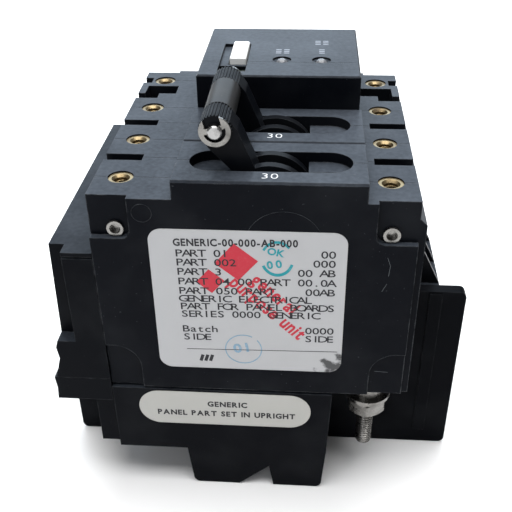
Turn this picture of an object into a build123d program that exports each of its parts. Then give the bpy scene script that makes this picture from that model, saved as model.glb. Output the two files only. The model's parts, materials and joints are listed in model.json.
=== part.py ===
from build123d import *
from math import asin, atan2, cos, degrees, hypot, radians, sin
import os

# Two pole stud terminal circuit breaker with a ground fault module, millimetres.
# Origin: centre of the pattern of eight threaded inserts, in the plane of the mounting face.
# X runs from the load side to the line side, Y from pole 1 to the module, Z out of the panel.

# ---- driving dimensions ----------------------------------------------------------------
POLE_PITCH = 19.05        # width of one pole, measured along Y
INSERT_SPAN = 57.15       # distance between the two insert rows, along X
HALF_WIDTH = 34.25        # half the width of a pole case along X
CASE_DEPTH = 50.9         # mounting face down to the bottom of the pole case
REAR_TRIM = 1.9           # the last module half is this much thinner than half a pole
WALL = 1.8                # case wall
SEAM = 0.08               # visible gap between neighbouring case halves
GAP = 0.30                # clearance between separate housings
FIT = 0.05                # radial clearance round a pin that stays still
RUN = 0.08                # radial clearance round a pin that turns
FAR = 150.0               # reach of a block that only divides a case

# ---- raised bezel with the handle slots ------------------------------------------------
BEZEL_LOAD = -16.2
BEZEL_LINE = 23.4
BEZEL_HEIGHT = 4.3
BEZEL_EDGE = 0.45
SLOT_HALF = 17.0          # half the length of the handle slot
SLOT_WIDTH = 9.4
SLOT_FLOOR = 2.0          # height of the shelf at either end of the slot
SLOT_THROUGH = 7.9        # half length of the part of the slot that goes right through
HUB_ROOM = 0.35

# ---- raised block of the module --------------------------------------------------------
BLOCK_LOAD = -15.6
BLOCK_LINE = 22.9
BLOCK_HEIGHT = 12.2
BLOCK_EDGE = 0.35
WELL_LOAD = -11.0         # sunk well round the test button
WELL_LINE = -4.3
WELL_FRONT = 2.8
WELL_REAR = 22.9
WELL_SILL = 8.6           # the open front part of the well ends here, at the sill
SILL_DROP = 0.8           # sill below the top of the block
BUTTON_WIDTH = 4.0
BUTTON_LENGTH = 12.6
BUTTON_PROUD = 0.9
BUTTON_SKIRT = 3.4        # underside of the button below the top of the block
BUTTON_EDGE = 0.35
BUTTON_GAP = 0.35
STEM_RADIUS = 1.3
STEM_LENGTH = 2.2
SPRING_RADIUS = 2.0
SPRING_WIRE = 0.22
SPRING_TURNS = 4
LED_X = (4.05, 13.7)
LED_Y = 11.3
LED_RADIUS = 1.45
LED_RING = 2.3
LED_SUNK = 0.6            # rim of a lamp below the top of the block
LED_DOME = 0.9
RING_DEPTH = 0.5
BOARD_DROP = 7.0          # indicator board below the top of the block
BOARD_THICK = 1.6

# ---- case corners, inserts, rivets -----------------------------------------------------
CORNER_INSET = 8.65       # the corner recesses start this far inside the case side
CORNER_Z = 9.6
CORNER_SINK = 1.5
CORNER_ROUND = 2.0
FOOT_CORNER_INSET = 7.85
FOOT_CORNER_Z = 12.2
FOOT_SINK = 0.8
PAD_REACH = 4.575         # solid pads round the inserts start this far inside them
PAD_Z = 11.6
INSERT_RADIUS = 2.75
INSERT_BORE = 1.42
INSERT_LENGTH = 4.6
INSERT_SINK = 0.3
INSERT_FLARE = 0.55
RIVET_INSET = 5.5
RIVET_Z = -7.75
RIVET_RADIUS = 1.35
RIVET_HEAD = 1.8
RIVET_CUP = 1.15          # radius of the hollow in both rivet ends
RIVET_CUP_DEPTH = 1.3
RIVET_HEAD_THICK = 0.7
RAIL_OUT = 1.55           # rib along the line side of each case
RAIL_TOP = -4.2
KNOCKOUT_DEPTH = 5.6      # stepped pockets beside the last two insert rows
KNOCKOUT_LONG = 5.4
KNOCKOUT_BACK = 3.2
KNOCKOUT_INNER = 10.05    # these four are measured inward from the case side
KNOCKOUT_OUTER = 1.85
KNOCKOUT_STEP = 5.65
KNOCKOUT_EDGE = 2.25
EDGE_NOTCH = 1.8

# ---- handle and its tie ----------------------------------------------------------------
PIVOT_X = 3.5
PIVOT_Z = -4.0
HUB_RADIUS = 9.0
HUB_HALF = 3.6
HUB_CORE = 2.9
HUB_GROOVE = 1.75
PIVOT_PIN = 1.5
BEARING_WALL = 1.3        # wall of the bearings that stand off the case sides
LEAN = 32.7               # the handle leans this far to the load side when off
REACH = 20.08             # pivot to tie pin
ARM_ROOT = 1.7
ARM_TOP = 3.55
ARM_FRONT = -3.6
ARM_REAR = 2.2
HEAD_RADIUS = 3.4
HEAD_FRONT = -4.3
HEAD_REAR = 2.5
KNURL_COUNT = 30
KNURL_RADIUS = 0.27
TIE_PIN = 1.5
TIE_PIN_PROUD = 1.5
TIE_PIN_EDGE = 0.3
CLIP_RADIUS = 3.25
CLIP_RIM = 1.0
CLIP_THICK = 0.6
CLIP_GAP = 0.12
CLIP_MOUTH = 1.7
CLIP_LUG = 1.3
CLIP_TURN = 15.0          # the mouth of the clips leans this far to the load side
SHOULDER_DROP = 2.6       # widening of the arm below its head
SHOULDER_LOW = 7.0

# ---- switching mechanism ---------------------------------------------------------------
CRANK = 5.0               # handle pivot to link pin
LINK_HALF = 1.2
LINK_WIDTH = 3.2
LINK_PIN = 1.0
LINK_PLAY = 0.4           # play of the link pin in the contact arm
LINK_PIN_SHORT = 0.2      # link pins end this far inside the piece they join
SLOT_REACH = 3.6          # radius of the slot in the contact arm
ARM_PIVOT_X = -4.5
ARM_PIVOT_Z = -21.0
ARM_LEVER = 17.0          # contact arm pivot to link pin
ARM_TIP = 25.5            # contact arm pivot to contact centre
ARM_HALF = 2.8
ARM_THICK = 2.4
ARM_PIN = 1.4
CONTACT_RADIUS = 1.9
CONTACT_THICK = 1.2
CONTACT_GAP = 0.15        # space left between the contacts at the end of the throw
STRAP_THICK = 1.5
STRAP_HALF = 4.0
ARC_COUNT = 5
ARC_PITCH = 2.6
ARC_THICK = 0.8
ARC_GAP = 0.7             # end of the contact arm to the arc plates
ARC_WIDTH = 5.8
ARC_TOP = -13.6
ARC_HALF = 6.2

# ---- magnetic trip ---------------------------------------------------------------------
COIL_X = -20.5
COIL_RADIUS = 6.6
COIL_LENGTH = 14.0
COIL_RISE = 4.3           # coil above the case bottom
TUBE_RADIUS = 2.9
TUBE_WALL = 0.4
TUBE_PROUD = 1.6
CAP_RADIUS = 3.9
CAP_THICK = 1.2
TUBE_FOOT = 0.6           # tube below the magnet frame
CORE_RADIUS = 2.2
CORE_LENGTH = 5.5
FRAME_X = -11.0
FRAME_THICK = 1.5
FRAME_HALF = 7.6
EAR_HALF = 1.8            # half height of the ears round the armature pin
HINGE_RISE = 5.0          # armature pin above the coil
ARMATURE_THICK = 1.2
ARMATURE_HALF = 5.0
ARMATURE_REACH = 15.0
TAIL_HALF = 2.0
TAIL_SHORT = 2.0          # tail of the armature ends this far below the trip bar axis
PADDLE_HALF = 2.4
ARMATURE_PIN = 0.8
TRIP_X = -15.5
TRIP_Z = -17.0
TRIP_RADIUS = 1.4
TRIP_PADDLE = 4.0
TRIP_ROOM = 0.35

# ---- stud terminals --------------------------------------------------------------------
STUD_INSET = 6.95         # stud axis inside the case side
STUD_RADIUS = 2.08        # free threaded end below the nut
SHANK_RADIUS = 2.3        # shank through the case, the washers and the nut
STUD_HEAD = 1.0           # head radius beyond the free end radius
STUD_HEAD_THICK = 1.6
STUD_LENGTH = 17.9        # collar face down to the tip
STUD_POINT = 0.5
COLLAR_RADIUS = 4.3
COLLAR_HEIGHT = 6.5       # collar between the case bottom and the flat washer
WASHER_RADIUS = 5.7
WASHER_THICK = 1.0
LOCK_RADIUS = 4.7
LOCK_THICK = 1.3
LOCK_SPLIT = 0.5
NUT_FLATS = 8.73
NUT_THICK = 3.6
NUT_EDGE = 0.7
STRAP_END = 4.4           # strap beyond the stud axis

# ---- side and lower housings -----------------------------------------------------------
SIDE_TOP = -13.6
SIDE_STEP = 3.5
SIDE_STEP_OUT = 6.95      # front step of the side cover, outside the case side
SIDE_OUT = 10.45          # face of the side cover, outside the case side
SIDE_SEAM_RISE = 1.8      # bottom seam of the cover above the case bottom
SIDE_WAIST = 9.1          # moulded waist of the cover above that seam
SIDE_LIP = 2.0
SIDE_FLARE = 3.2          # flare of the closing block
SIDE_DROP = 5.0           # closing block below the case bottom
SIDE_REAR_INSET = 6.9
LOWER_GAP = 0.7           # lower housing below the case bottom
LOWER_DEPTH = 19.7
LOWER_DRAFT = 0.8
LOWER_LINE_INSET = 15.95
LOWER_LOAD_INSET = 0.05
LOWER_WING_OUT = 4.95
LOWER_STEP = 1.8
FOOT_DEPTH = 12.1
FOOT_LOAD = -16.6
FOOT_LINE = 17.2
FOOT_DRAFT = 0.7          # both sides of the foot lean in towards the bottom
FOOT_ROUND = 1.7
FOOT_NOTCH_X = 3.3
FOOT_NOTCH_RISE = 6.7
FOOT_NOTCH_RUN = 7.6
FOOT_NOTCH_BACK = 1.1
BARRIER_THICK = 3.0
BARRIER_REACH = 15.65     # barriers beyond the case side
BARRIER_RISE = 17.5       # line barrier above the case bottom
BARRIER_ROUND = 1.6
RIB_IN = 6.85             # rib on the line barrier, beyond the case side
RIB_OUT = 9.95
RIB_PROUD = 0.45
RIB_FOOT = 4.6
SHROUD_REACH = 9.75       # shroud beyond the case side
SHROUD_RISE = 16.4
SHROUD_REAR = 6.0
SHROUD_THICK = 1.6
GUSSET_Y = (-14.5, -5.0, 5.0)
GUSSET_RISE = 13.0
GUSSET_THICK = 1.4

# ---- ground fault module ---------------------------------------------------------------
SENSE_OFFSET = 0.95       # sensing board behind the middle of the module
SENSE_INSET = 5.25
SENSE_WIDTH = 51.0
SENSE_RISE = 7.9
SENSE_TOP = -15.0
RING_X = -12.0            # ring core of the current transformer
RING_RADIUS = 8.6
RING_HOLE = 4.4
RING_LENGTH = 10.0
CONDUCTOR_X = (-14.2, -9.8)
CONDUCTOR_RADIUS = 1.3
CONDUCTOR_DROP = 9.8      # conductors below the case bottom
LOAD_STRAP_X = -17.0
SOLENOID_X = -1.5
SOLENOID_DROP = 4.6       # solenoid axis below the trip bar
SOLENOID_RADIUS = 4.4
SOLENOID_LENGTH = 12.0
PLUNGER_RADIUS = 1.3
PLUNGER_LENGTH = 14.6
PLUNGER_SHIFT = 1.5

# ---- labels ----------------------------------------------------------------------------
LABEL_THICK = 0.12
LABEL_LOAD = -21.8
LABEL_LINE = 19.9
LABEL_TOP = -6.85
LABEL_RISE = 6.6          # label above the case bottom
LABEL_ROUND = 3.0
PILL_LOAD = -28.1
PILL_LINE = 13.4
PILL_TOP = 0.6            # label below the top of the lower housing
PILL_HEIGHT = 10.4

# ---- derived places --------------------------------------------------------------------
FRONT = -2 * POLE_PITCH
REAR = 2 * POLE_PITCH - REAR_TRIM
POLE_Y = [FRONT + POLE_PITCH * (k + 0.5) for k in range(4)]
FLOOR = -CASE_DEPTH + WALL
CORNER_X = HALF_WIDTH - CORNER_INSET
FOOT_CORNER_X = HALF_WIDTH - FOOT_CORNER_INSET
PAD_X = INSERT_SPAN / 2 - PAD_REACH
RIVET_X = HALF_WIDTH - RIVET_INSET
STUD_X = HALF_WIDTH - STUD_INSET
COLLAR_BASE = -CASE_DEPTH - COLLAR_HEIGHT
NUT_TOP = COLLAR_BASE - WASHER_THICK - LOCK_THICK
NUT_BASE = NUT_TOP - NUT_THICK
STUD_TIP = COLLAR_BASE - STUD_LENGTH
BAR_X = PIVOT_X - REACH * sin(radians(LEAN))
BAR_Z = PIVOT_Z + REACH * cos(radians(LEAN))
CRANK_X = PIVOT_X + CRANK * cos(radians(LEAN))
CRANK_Z = PIVOT_Z + CRANK * sin(radians(LEAN))
TILT = asin(CRANK * sin(radians(LEAN)) / ARM_LEVER)   # contact arm above level when off, below when on
LEVER_X = ARM_PIVOT_X + ARM_LEVER * cos(TILT)
LEVER_Z = ARM_PIVOT_Z + ARM_LEVER * sin(TILT)
LINK_SHIFT = (CRANK * (1 - cos(radians(LEAN))) - ARM_LEVER * (1 - cos(TILT))) / 2
CONTACT_X = ARM_PIVOT_X + ARM_TIP * cos(TILT)
TIP_DROP = (ARM_TIP + CONTACT_RADIUS) * sin(TILT) + (ARM_THICK / 2 + CONTACT_THICK) * cos(TILT)
CLOSED_LOW = ARM_PIVOT_Z - TIP_DROP
STRAP_TOP = CLOSED_LOW - CONTACT_GAP - CONTACT_THICK
ARC_LOAD = ARM_PIVOT_X + ARM_TIP + CONTACT_RADIUS + ARC_GAP
ARC_LINE = ARC_LOAD + ARC_WIDTH
COIL_BASE = -CASE_DEPTH + COIL_RISE
COIL_TOP = COIL_BASE + COIL_LENGTH
FRAME_BASE = COIL_BASE - FRAME_THICK
TUBE_LOW = FRAME_BASE - TUBE_FOOT
HINGE_X = FRAME_X + FRAME_THICK / 2
HINGE_Z = COIL_TOP + HINGE_RISE
BAR_FRONT = POLE_Y[0] + HEAD_FRONT
BAR_REAR = POLE_Y[1] - HEAD_FRONT
SIDE_INNER = -HALF_WIDTH - SIDE_STEP_OUT
SIDE_OUTER = -HALF_WIDTH - SIDE_OUT
SIDE_SEAM_Z = -CASE_DEPTH + SIDE_SEAM_RISE
SIDE_BASE_Z = -CASE_DEPTH - SIDE_DROP
SIDE_REAR = REAR - SIDE_REAR_INSET
LOWER_TOP = -CASE_DEPTH - LOWER_GAP
LOWER_BOTTOM = LOWER_TOP - LOWER_DEPTH
LOWER_LINE = HALF_WIDTH - LOWER_LINE_INSET
LOWER_LOAD = -HALF_WIDTH + LOWER_LOAD_INSET
LOWER_WING = -HALF_WIDTH - LOWER_WING_OUT
FOOT_BOTTOM = LOWER_BOTTOM - FOOT_DEPTH
BARRIER_OUT = HALF_WIDTH + BARRIER_REACH
BARRIER_TOP = -CASE_DEPTH + BARRIER_RISE
BARRIER_FRONT = -POLE_PITCH - BARRIER_THICK / 2
BARRIER_REAR = -POLE_PITCH + BARRIER_THICK / 2
SHROUD_OUT = HALF_WIDTH + SHROUD_REACH
SHROUD_TOP = -CASE_DEPTH + SHROUD_RISE
BUTTON_LINE = WELL_LINE - BUTTON_GAP
BUTTON_LOAD = BUTTON_LINE - BUTTON_WIDTH
BUTTON_REAR = WELL_REAR - BUTTON_GAP
BUTTON_FRONT = BUTTON_REAR - BUTTON_LENGTH
BOARD_TOP = BLOCK_HEIGHT - BOARD_DROP
SENSE_Y = POLE_PITCH + SENSE_OFFSET
SENSE_LOAD = -HALF_WIDTH + SENSE_INSET
SENSE_LOW = -CASE_DEPTH + SENSE_RISE
CONDUCTOR_Z = -CASE_DEPTH - CONDUCTOR_DROP
RING_REAR = SEAM / 2 + RING_LENGTH * 0.4
SOLENOID_Z = TRIP_Z - SOLENOID_DROP
TRIP_END = SEAM / 2 + WALL + 8.0
SOLENOID_Y = TRIP_END - 2.6


def block(x0, x1, y0, y1, z0, z1):
    """Box between two corners."""
    size = Box(x1 - x0, y1 - y0, z1 - z0)
    return Pos((x0 + x1) / 2, (y0 + y1) / 2, (z0 + z1) / 2) * size


def rod_y(x, z, radius, y0, y1):
    """Round bar along Y."""
    return Pos(x, (y0 + y1) / 2, z) * Rot(90, 0, 0) * Cylinder(radius, y1 - y0)


def rod_z(x, y, radius, z0, z1):
    """Round bar along Z."""
    return Pos(x, y, (z0 + z1) / 2) * Cylinder(radius, z1 - z0)


def slab_y(points, y0, y1):
    """Outline in X and Z made thick along Y."""
    face = make_face(Plane.XZ * Polyline(*points, close=True))
    return Pos(0, y0, 0) * extrude(face, amount=y1 - y0, dir=(0, 1, 0))


def round_slab_y(x0, x1, z0, z1, radius, y0, y1):
    """Rectangle in X and Z with round corners, thick along Y."""
    solid = block(x0, x1, y0, y1, z0, z1)
    return fillet(solid.edges().filter_by(Axis.Y), radius)


def save(shape, name):
    """Write one sub-part."""
    export_step(shape, "parts/" + name + ".step")


def group(solids):
    """Separate solids that share a node."""
    return Compound(children=list(solids))


def only_solid(shape):
    """The largest solid of a boolean result."""
    return max(shape.solids(), key=lambda s: s.volume)


# ---- pole cases ------------------------------------------------------------------------

def corner_cuts(y0, y1):
    """The four sunk corners on one outer face of a case, between y0 and y1."""
    cuts = []
    far = HALF_WIDTH + RAIL_OUT + 1
    for side in (-1, 1):
        a, b = sorted((side * CORNER_X, side * far))
        top = block(a, b, y0, y1, -CORNER_Z, 1)
        inner = top.edges().filter_by(Axis.Y).sort_by(Axis.Z)[:2]
        corner = inner.sort_by(Axis.X)[0 if side > 0 else -1]
        cuts.append(fillet(corner, CORNER_ROUND))
    return cuts


def foot_cuts(y0, y1):
    """The shallow rounded corners at the bottom of one outer face."""
    cuts = []
    far = HALF_WIDTH + RAIL_OUT + 1
    for side in (-1, 1):
        a, b = sorted((side * FOOT_CORNER_X, side * far))
        pad = block(a, b, y0, y1, -CASE_DEPTH - 1, -CASE_DEPTH + FOOT_CORNER_Z)
        upper = pad.edges().filter_by(Axis.Y).sort_by(Axis.Z)[2:]
        corner = upper.sort_by(Axis.X)[0 if side > 0 else -1]
        cuts.append(fillet(corner, FOOT_CORNER_Z / 2))
    return cuts


def slot_cut(y):
    """Room for one handle: long shelf slot, through slot and hub."""
    half = SLOT_WIDTH / 2
    straight = SLOT_HALF - half
    ends = [
        rod_z(PIVOT_X + side * straight, y, half, SLOT_FLOOR, BEZEL_HEIGHT + 1)
        for side in (-1, 1)
    ]
    shelf = block(PIVOT_X - straight, PIVOT_X + straight, y - half, y + half, SLOT_FLOOR, BEZEL_HEIGHT + 1)
    hole = block(PIVOT_X - SLOT_THROUGH, PIVOT_X + SLOT_THROUGH, y - half, y + half,
                 -WALL - 1, SLOT_FLOOR + 1)
    hub = rod_y(PIVOT_X, PIVOT_Z, HUB_RADIUS + HUB_ROOM, y - half, y + half)
    return [shelf, hole, hub] + ends


def case_outside(y0, y1):
    """Outside of a pole case with its line side rib."""
    body = block(-HALF_WIDTH, HALF_WIDTH, y0, y1, -CASE_DEPTH, 0)
    rail = block(HALF_WIDTH - 1, HALF_WIDTH + RAIL_OUT, y0 + CORNER_SINK, y1 - CORNER_SINK,
                 -CASE_DEPTH, RAIL_TOP)
    rail = chamfer(rail.edges().filter_by(Axis.Y).sort_by(Axis.X)[-2:].sort_by(Axis.Z)[-1], RAIL_OUT - 0.2)
    return body + rail


def case_room(y0, y1):
    """Space inside a case, keeping solid pads in the top corners."""
    inner = HALF_WIDTH - WALL
    room = block(-inner, inner, y0 + WALL, y1 - WALL, -CASE_DEPTH + WALL, -WALL)
    for side in (-1, 1):
        a, b = sorted((side * PAD_X, side * HALF_WIDTH))
        room -= block(a, b, y0, y1, -PAD_Z, 0)
    return room


def insert_cuts(y):
    """Pockets for the two inserts of one row."""
    cuts = []
    for side in (-1, 1):
        x = side * INSERT_SPAN / 2
        cuts.append(rod_z(x, y, INSERT_RADIUS, -INSERT_SINK - INSERT_LENGTH - FIT, 1))
    return cuts


def rivet_cuts(y0, y1):
    """Holes for the two long rivets."""
    return [rod_y(side * RIVET_X, RIVET_Z, RIVET_RADIUS + FIT, y0 - 1, y1 + 1) for side in (-1, 1)]


def pole_case(index):
    """Front and rear halves of a switching pole."""
    y0 = FRONT + POLE_PITCH * index + (SEAM / 2 if index else 0)
    y1 = FRONT + POLE_PITCH * (index + 1) - SEAM / 2
    mid = POLE_Y[index]
    case = case_outside(y0, y1)
    bezel = block(BEZEL_LOAD, BEZEL_LINE, y0, y1, -WALL, BEZEL_HEIGHT)
    bezel = chamfer(bezel.edges().group_by(Axis.Z)[-1].filter_by(Axis.X), BEZEL_EDGE)
    case += bezel
    case -= case_room(y0, y1)
    for y_a, y_b in ((y0 - 1, y0 + CORNER_SINK), (y1 - CORNER_SINK, y1 + 1)):
        for cut in corner_cuts(y_a, y_b):
            case -= cut
    for y_a, y_b in ((y0 - 1, y0 + FOOT_SINK), (y1 - FOOT_SINK, y1 + 1)):
        for cut in foot_cuts(y_a, y_b):
            case -= cut
    # bearings for the handle pin and the contact arm pin stand off both side walls
    for x, z, radius, clear in (
        (PIVOT_X, PIVOT_Z, PIVOT_PIN, HUB_HALF + GAP),
        (ARM_PIVOT_X, ARM_PIVOT_Z, ARM_PIN, ARM_HALF + GAP),
    ):
        for a, b in ((y0 + WALL / 2, mid - clear), (mid + clear, y1 - WALL / 2)):
            case += rod_y(x, z, radius + BEARING_WALL, a, b)
    for cut in slot_cut(mid):
        case -= cut
    case += rod_y(PIVOT_X, PIVOT_Z, PIVOT_PIN + BEARING_WALL, y0 + WALL / 2, mid - HUB_HALF - GAP)
    case += rod_y(PIVOT_X, PIVOT_Z, PIVOT_PIN + BEARING_WALL, mid + HUB_HALF + GAP, y1 - WALL / 2)
    case -= rod_y(PIVOT_X, PIVOT_Z, PIVOT_PIN + FIT, y0 + WALL, y1 - WALL)
    case -= rod_y(ARM_PIVOT_X, ARM_PIVOT_Z, ARM_PIN + FIT, y0 + WALL, y1 - WALL)
    for cut in insert_cuts(mid) + rivet_cuts(y0, y1):
        case -= cut
    case -= rod_z(STUD_X, mid, SHANK_RADIUS + FIT, -CASE_DEPTH - 1, FLOOR + 1)
    trip_end = y0 - 1 if index else y0 + WALL
    case -= rod_y(TRIP_X, TRIP_Z, TRIP_RADIUS + TRIP_ROOM, trip_end, y1 + 1)
    case -= rod_z(CONDUCTOR_X[index], mid, CONDUCTOR_RADIUS + GAP, -CASE_DEPTH - 1, FLOOR + 1)
    front = case & block(-FAR, FAR, y0 - FAR, mid - SEAM / 2, -FAR, FAR)
    rear = case & block(-FAR, FAR, mid + SEAM / 2, y1 + FAR, -FAR, FAR)
    return only_solid(front), only_solid(rear)


# ---- module cases ----------------------------------------------------------------------

def module_block():
    """Raised block over the module, before its well and lamp holes."""
    raised = block(BLOCK_LOAD, BLOCK_LINE, SEAM / 2, REAR, -WALL, BLOCK_HEIGHT)
    return chamfer(raised.edges().group_by(Axis.Z)[-1], BLOCK_EDGE)


def well_cuts():
    """Open well in front of the test button, the sunk sill round it and its slot."""
    low = -WALL - 1
    high = BLOCK_HEIGHT + 1
    return [
        block(WELL_LOAD, WELL_LINE, WELL_FRONT, WELL_SILL, low, high),
        block(WELL_LOAD, WELL_LINE, WELL_FRONT, WELL_REAR, BLOCK_HEIGHT - SILL_DROP, high),
        block(BUTTON_LOAD - BUTTON_GAP, WELL_LINE, BUTTON_FRONT - BUTTON_GAP, WELL_REAR, low, high),
    ]


def module_cuts():
    """Button well, lamp holes and the space under the raised block."""
    cuts = well_cuts()
    for x in LED_X:
        cuts.append(rod_z(x, LED_Y, LED_RADIUS + FIT, -WALL - 1, BLOCK_HEIGHT + 1))
        cuts.append(rod_z(x, LED_Y, LED_RING, BLOCK_HEIGHT - RING_DEPTH, BLOCK_HEIGHT + 1))
    room_x0 = BLOCK_LOAD + WALL
    room_x1 = BLOCK_LINE - WALL
    cuts.append(block(room_x0, room_x1, SEAM / 2 + WALL, REAR - WALL, -WALL - 1, BLOCK_HEIGHT - WALL))
    return cuts


def knockout_cuts():
    """Stepped pockets beside the last two insert rows."""
    y = POLE_PITCH
    out = HALF_WIDTH + RAIL_OUT + 1
    cuts = []
    for side in (-1, 1):
        a, b = sorted((side * (HALF_WIDTH - KNOCKOUT_INNER), side * (HALF_WIDTH - KNOCKOUT_OUTER)))
        cuts.append(block(a, b, y, y + KNOCKOUT_LONG, -KNOCKOUT_DEPTH, 1))
        a, b = sorted((side * (HALF_WIDTH - KNOCKOUT_STEP), side * out))
        cuts.append(block(a, b, y - KNOCKOUT_BACK, y + 0.1, -KNOCKOUT_DEPTH, 1))
        a, b = sorted((side * (HALF_WIDTH - KNOCKOUT_EDGE), side * out))
        cuts.append(block(a, b, POLE_Y[3] - EDGE_NOTCH, POLE_Y[3] + EDGE_NOTCH, -KNOCKOUT_DEPTH, 1))
    return cuts


def module_case():
    """Front, middle and rear parts of the two pole wide module."""
    y0 = SEAM / 2
    case = case_outside(y0, REAR) + module_block()
    case -= case_room(y0, REAR)
    for cut in corner_cuts(y0 - 1, y0 + CORNER_SINK) + corner_cuts(REAR - CORNER_SINK, REAR + 1):
        case -= cut
    for cut in module_cuts() + knockout_cuts() + rivet_cuts(y0, REAR):
        case -= cut
    for k in (2, 3):
        for cut in insert_cuts(POLE_Y[k]):
            case -= cut
        case -= rod_z(STUD_X, POLE_Y[k], SHANK_RADIUS + FIT, -CASE_DEPTH - 1, FLOOR + 1)
        case -= rod_z(CONDUCTOR_X[k - 2], POLE_Y[k], CONDUCTOR_RADIUS + GAP, -CASE_DEPTH - 1, FLOOR + 1)
    case -= rod_y(TRIP_X, TRIP_Z, TRIP_RADIUS + TRIP_ROOM, y0 - 1, y0 + WALL + 1)
    cut_a = POLE_Y[2]
    cut_b = POLE_Y[3]
    front = case & block(-FAR, FAR, y0 - 1, cut_a - SEAM / 2, -FAR, FAR)
    rear = case & block(-FAR, FAR, cut_b + SEAM / 2, REAR + 1, -FAR, 0)
    rear -= block(BLOCK_LOAD - SEAM, BLOCK_LINE + SEAM, cut_b, REAR + 1, -WALL - SEAM, 1)
    middle = case & block(-FAR, FAR, cut_a + SEAM / 2, cut_b - SEAM / 2, -FAR, FAR)
    middle += case & block(BLOCK_LOAD, BLOCK_LINE, cut_b - 1, REAR + 1, -WALL, FAR)
    return only_solid(front), only_solid(middle), only_solid(rear)


# ---- side and lower housings -----------------------------------------------------------

def load_side_cover():
    """Deep cover along the load side of the poles."""
    x_in = -HALF_WIDTH - SEAM
    waist = SIDE_SEAM_Z + SIDE_WAIST
    outline = [
        (x_in, SIDE_TOP), (SIDE_OUTER, SIDE_TOP), (SIDE_OUTER - 0.4 * SIDE_LIP, waist + SIDE_LIP),
        (SIDE_OUTER - 0.7 * SIDE_LIP, waist), (SIDE_OUTER - 0.5 * SIDE_LIP, waist - SIDE_FLARE),
        (SIDE_OUTER - 1.3 * SIDE_LIP, SIDE_SEAM_Z), (x_in, SIDE_SEAM_Z),
    ]
    cover = slab_y(outline, FRONT, SIDE_REAR)
    cover -= block(SIDE_OUTER - 5, SIDE_INNER, FRONT - 1, FRONT + SIDE_STEP, waist + SIDE_LIP, SIDE_TOP + 1)
    cover -= block(SIDE_INNER - 0.01, x_in + 1, FRONT - 1, FRONT + 0.5, SIDE_TOP - 1.5, SIDE_TOP - 1.0)
    return cover - block(SIDE_OUTER + WALL, x_in - WALL, FRONT + SIDE_STEP + WALL, SIDE_REAR - WALL,
                         SIDE_SEAM_Z - 1, SIDE_TOP - WALL)


def load_side_base():
    """Flared closing block under the load side cover."""
    x_in = -HALF_WIDTH - SEAM
    x_out = SIDE_OUTER - SIDE_FLARE
    z_top = SIDE_SEAM_Z - SEAM
    outline = [
        (x_in, z_top), (x_out, z_top), (x_out + 0.3, (z_top + SIDE_BASE_Z) / 2),
        (x_out, SIDE_BASE_Z), (x_in, SIDE_BASE_Z),
    ]
    base = slab_y(outline, FRONT, SIDE_REAR)
    return base - block(SIDE_OUTER + WALL, x_in - WALL, FRONT + SIDE_STEP + WALL, SIDE_REAR - WALL,
                        SIDE_BASE_Z + WALL, z_top + 1)


def foot():
    """Foot of the lower housing, with a slanted notch in its underside."""
    notch = FOOT_BOTTOM + FOOT_NOTCH_RISE
    outline = [
        (FOOT_LOAD - FOOT_DRAFT, LOWER_BOTTOM + 1), (FOOT_LOAD + FOOT_DRAFT, FOOT_BOTTOM),
        (FOOT_NOTCH_X - FOOT_NOTCH_RUN, FOOT_BOTTOM), (FOOT_NOTCH_X, notch),
        (FOOT_NOTCH_X + FOOT_NOTCH_BACK, FOOT_BOTTOM), (FOOT_LINE - FOOT_DRAFT, FOOT_BOTTOM),
        (FOOT_LINE + FOOT_DRAFT / 2, LOWER_BOTTOM + 1),
    ]
    body = slab_y(outline, FRONT, REAR - LOWER_STEP)
    low = body.edges().filter_by(Axis.Y).group_by(Axis.Z)[0].sort_by(Axis.X)
    return fillet([low[0], low[-1]], FOOT_ROUND)


def lower_housing():
    """Open topped housing under the poles, with the notched foot."""
    wing_top = SIDE_BASE_Z - GAP
    line_low = LOWER_LINE - LOWER_DRAFT
    front_plate = slab_y(
        [(LOWER_LOAD, LOWER_TOP), (LOWER_LINE, LOWER_TOP),
         (line_low, LOWER_BOTTOM), (LOWER_LOAD, LOWER_BOTTOM)],
        FRONT, FRONT + LOWER_STEP,
    )
    body = slab_y(
        [(LOWER_LOAD, LOWER_TOP), (LOWER_LINE, LOWER_TOP), (line_low, LOWER_BOTTOM),
         (LOWER_WING, LOWER_BOTTOM), (LOWER_WING, wing_top), (LOWER_LOAD, wing_top)],
        FRONT + LOWER_STEP, REAR - LOWER_STEP,
    )
    room = block(LOWER_LOAD + WALL, LOWER_LINE - 2 * WALL, FRONT + LOWER_STEP + WALL,
                 REAR - LOWER_STEP - WALL, LOWER_BOTTOM + WALL, LOWER_TOP + 1)
    return front_plate + body + foot() - room


def line_barrier():
    """Insulating plate between the line terminals of poles 1 and 2."""
    y0 = BARRIER_FRONT
    x_case = HALF_WIDTH + RAIL_OUT + GAP
    tall = block(x_case, BARRIER_OUT, y0, BARRIER_REAR, FOOT_BOTTOM, BARRIER_TOP)
    tall = fillet(tall.edges().filter_by(Axis.Y).sort_by(Axis.X)[-2:], BARRIER_ROUND)
    low = block(LOWER_LINE + GAP, x_case + 1, y0, BARRIER_REAR, FOOT_BOTTOM, -CASE_DEPTH - GAP)
    rib = block(HALF_WIDTH + RIB_IN, HALF_WIDTH + RIB_OUT, y0 - RIB_PROUD, y0 + 0.1,
                FOOT_BOTTOM + RIB_FOOT, BARRIER_TOP - RIB_PROUD)
    return tall + low + rib


def load_barrier():
    """Insulating plate on the load side, below the side base."""
    plate = block(-BARRIER_OUT, LOWER_WING - SEAM, BARRIER_FRONT, BARRIER_REAR,
                  FOOT_BOTTOM, SIDE_BASE_Z - GAP)
    return fillet(plate.edges().filter_by(Axis.Y).sort_by(Axis.X)[:2].sort_by(Axis.Z)[0], BARRIER_ROUND)


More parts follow.
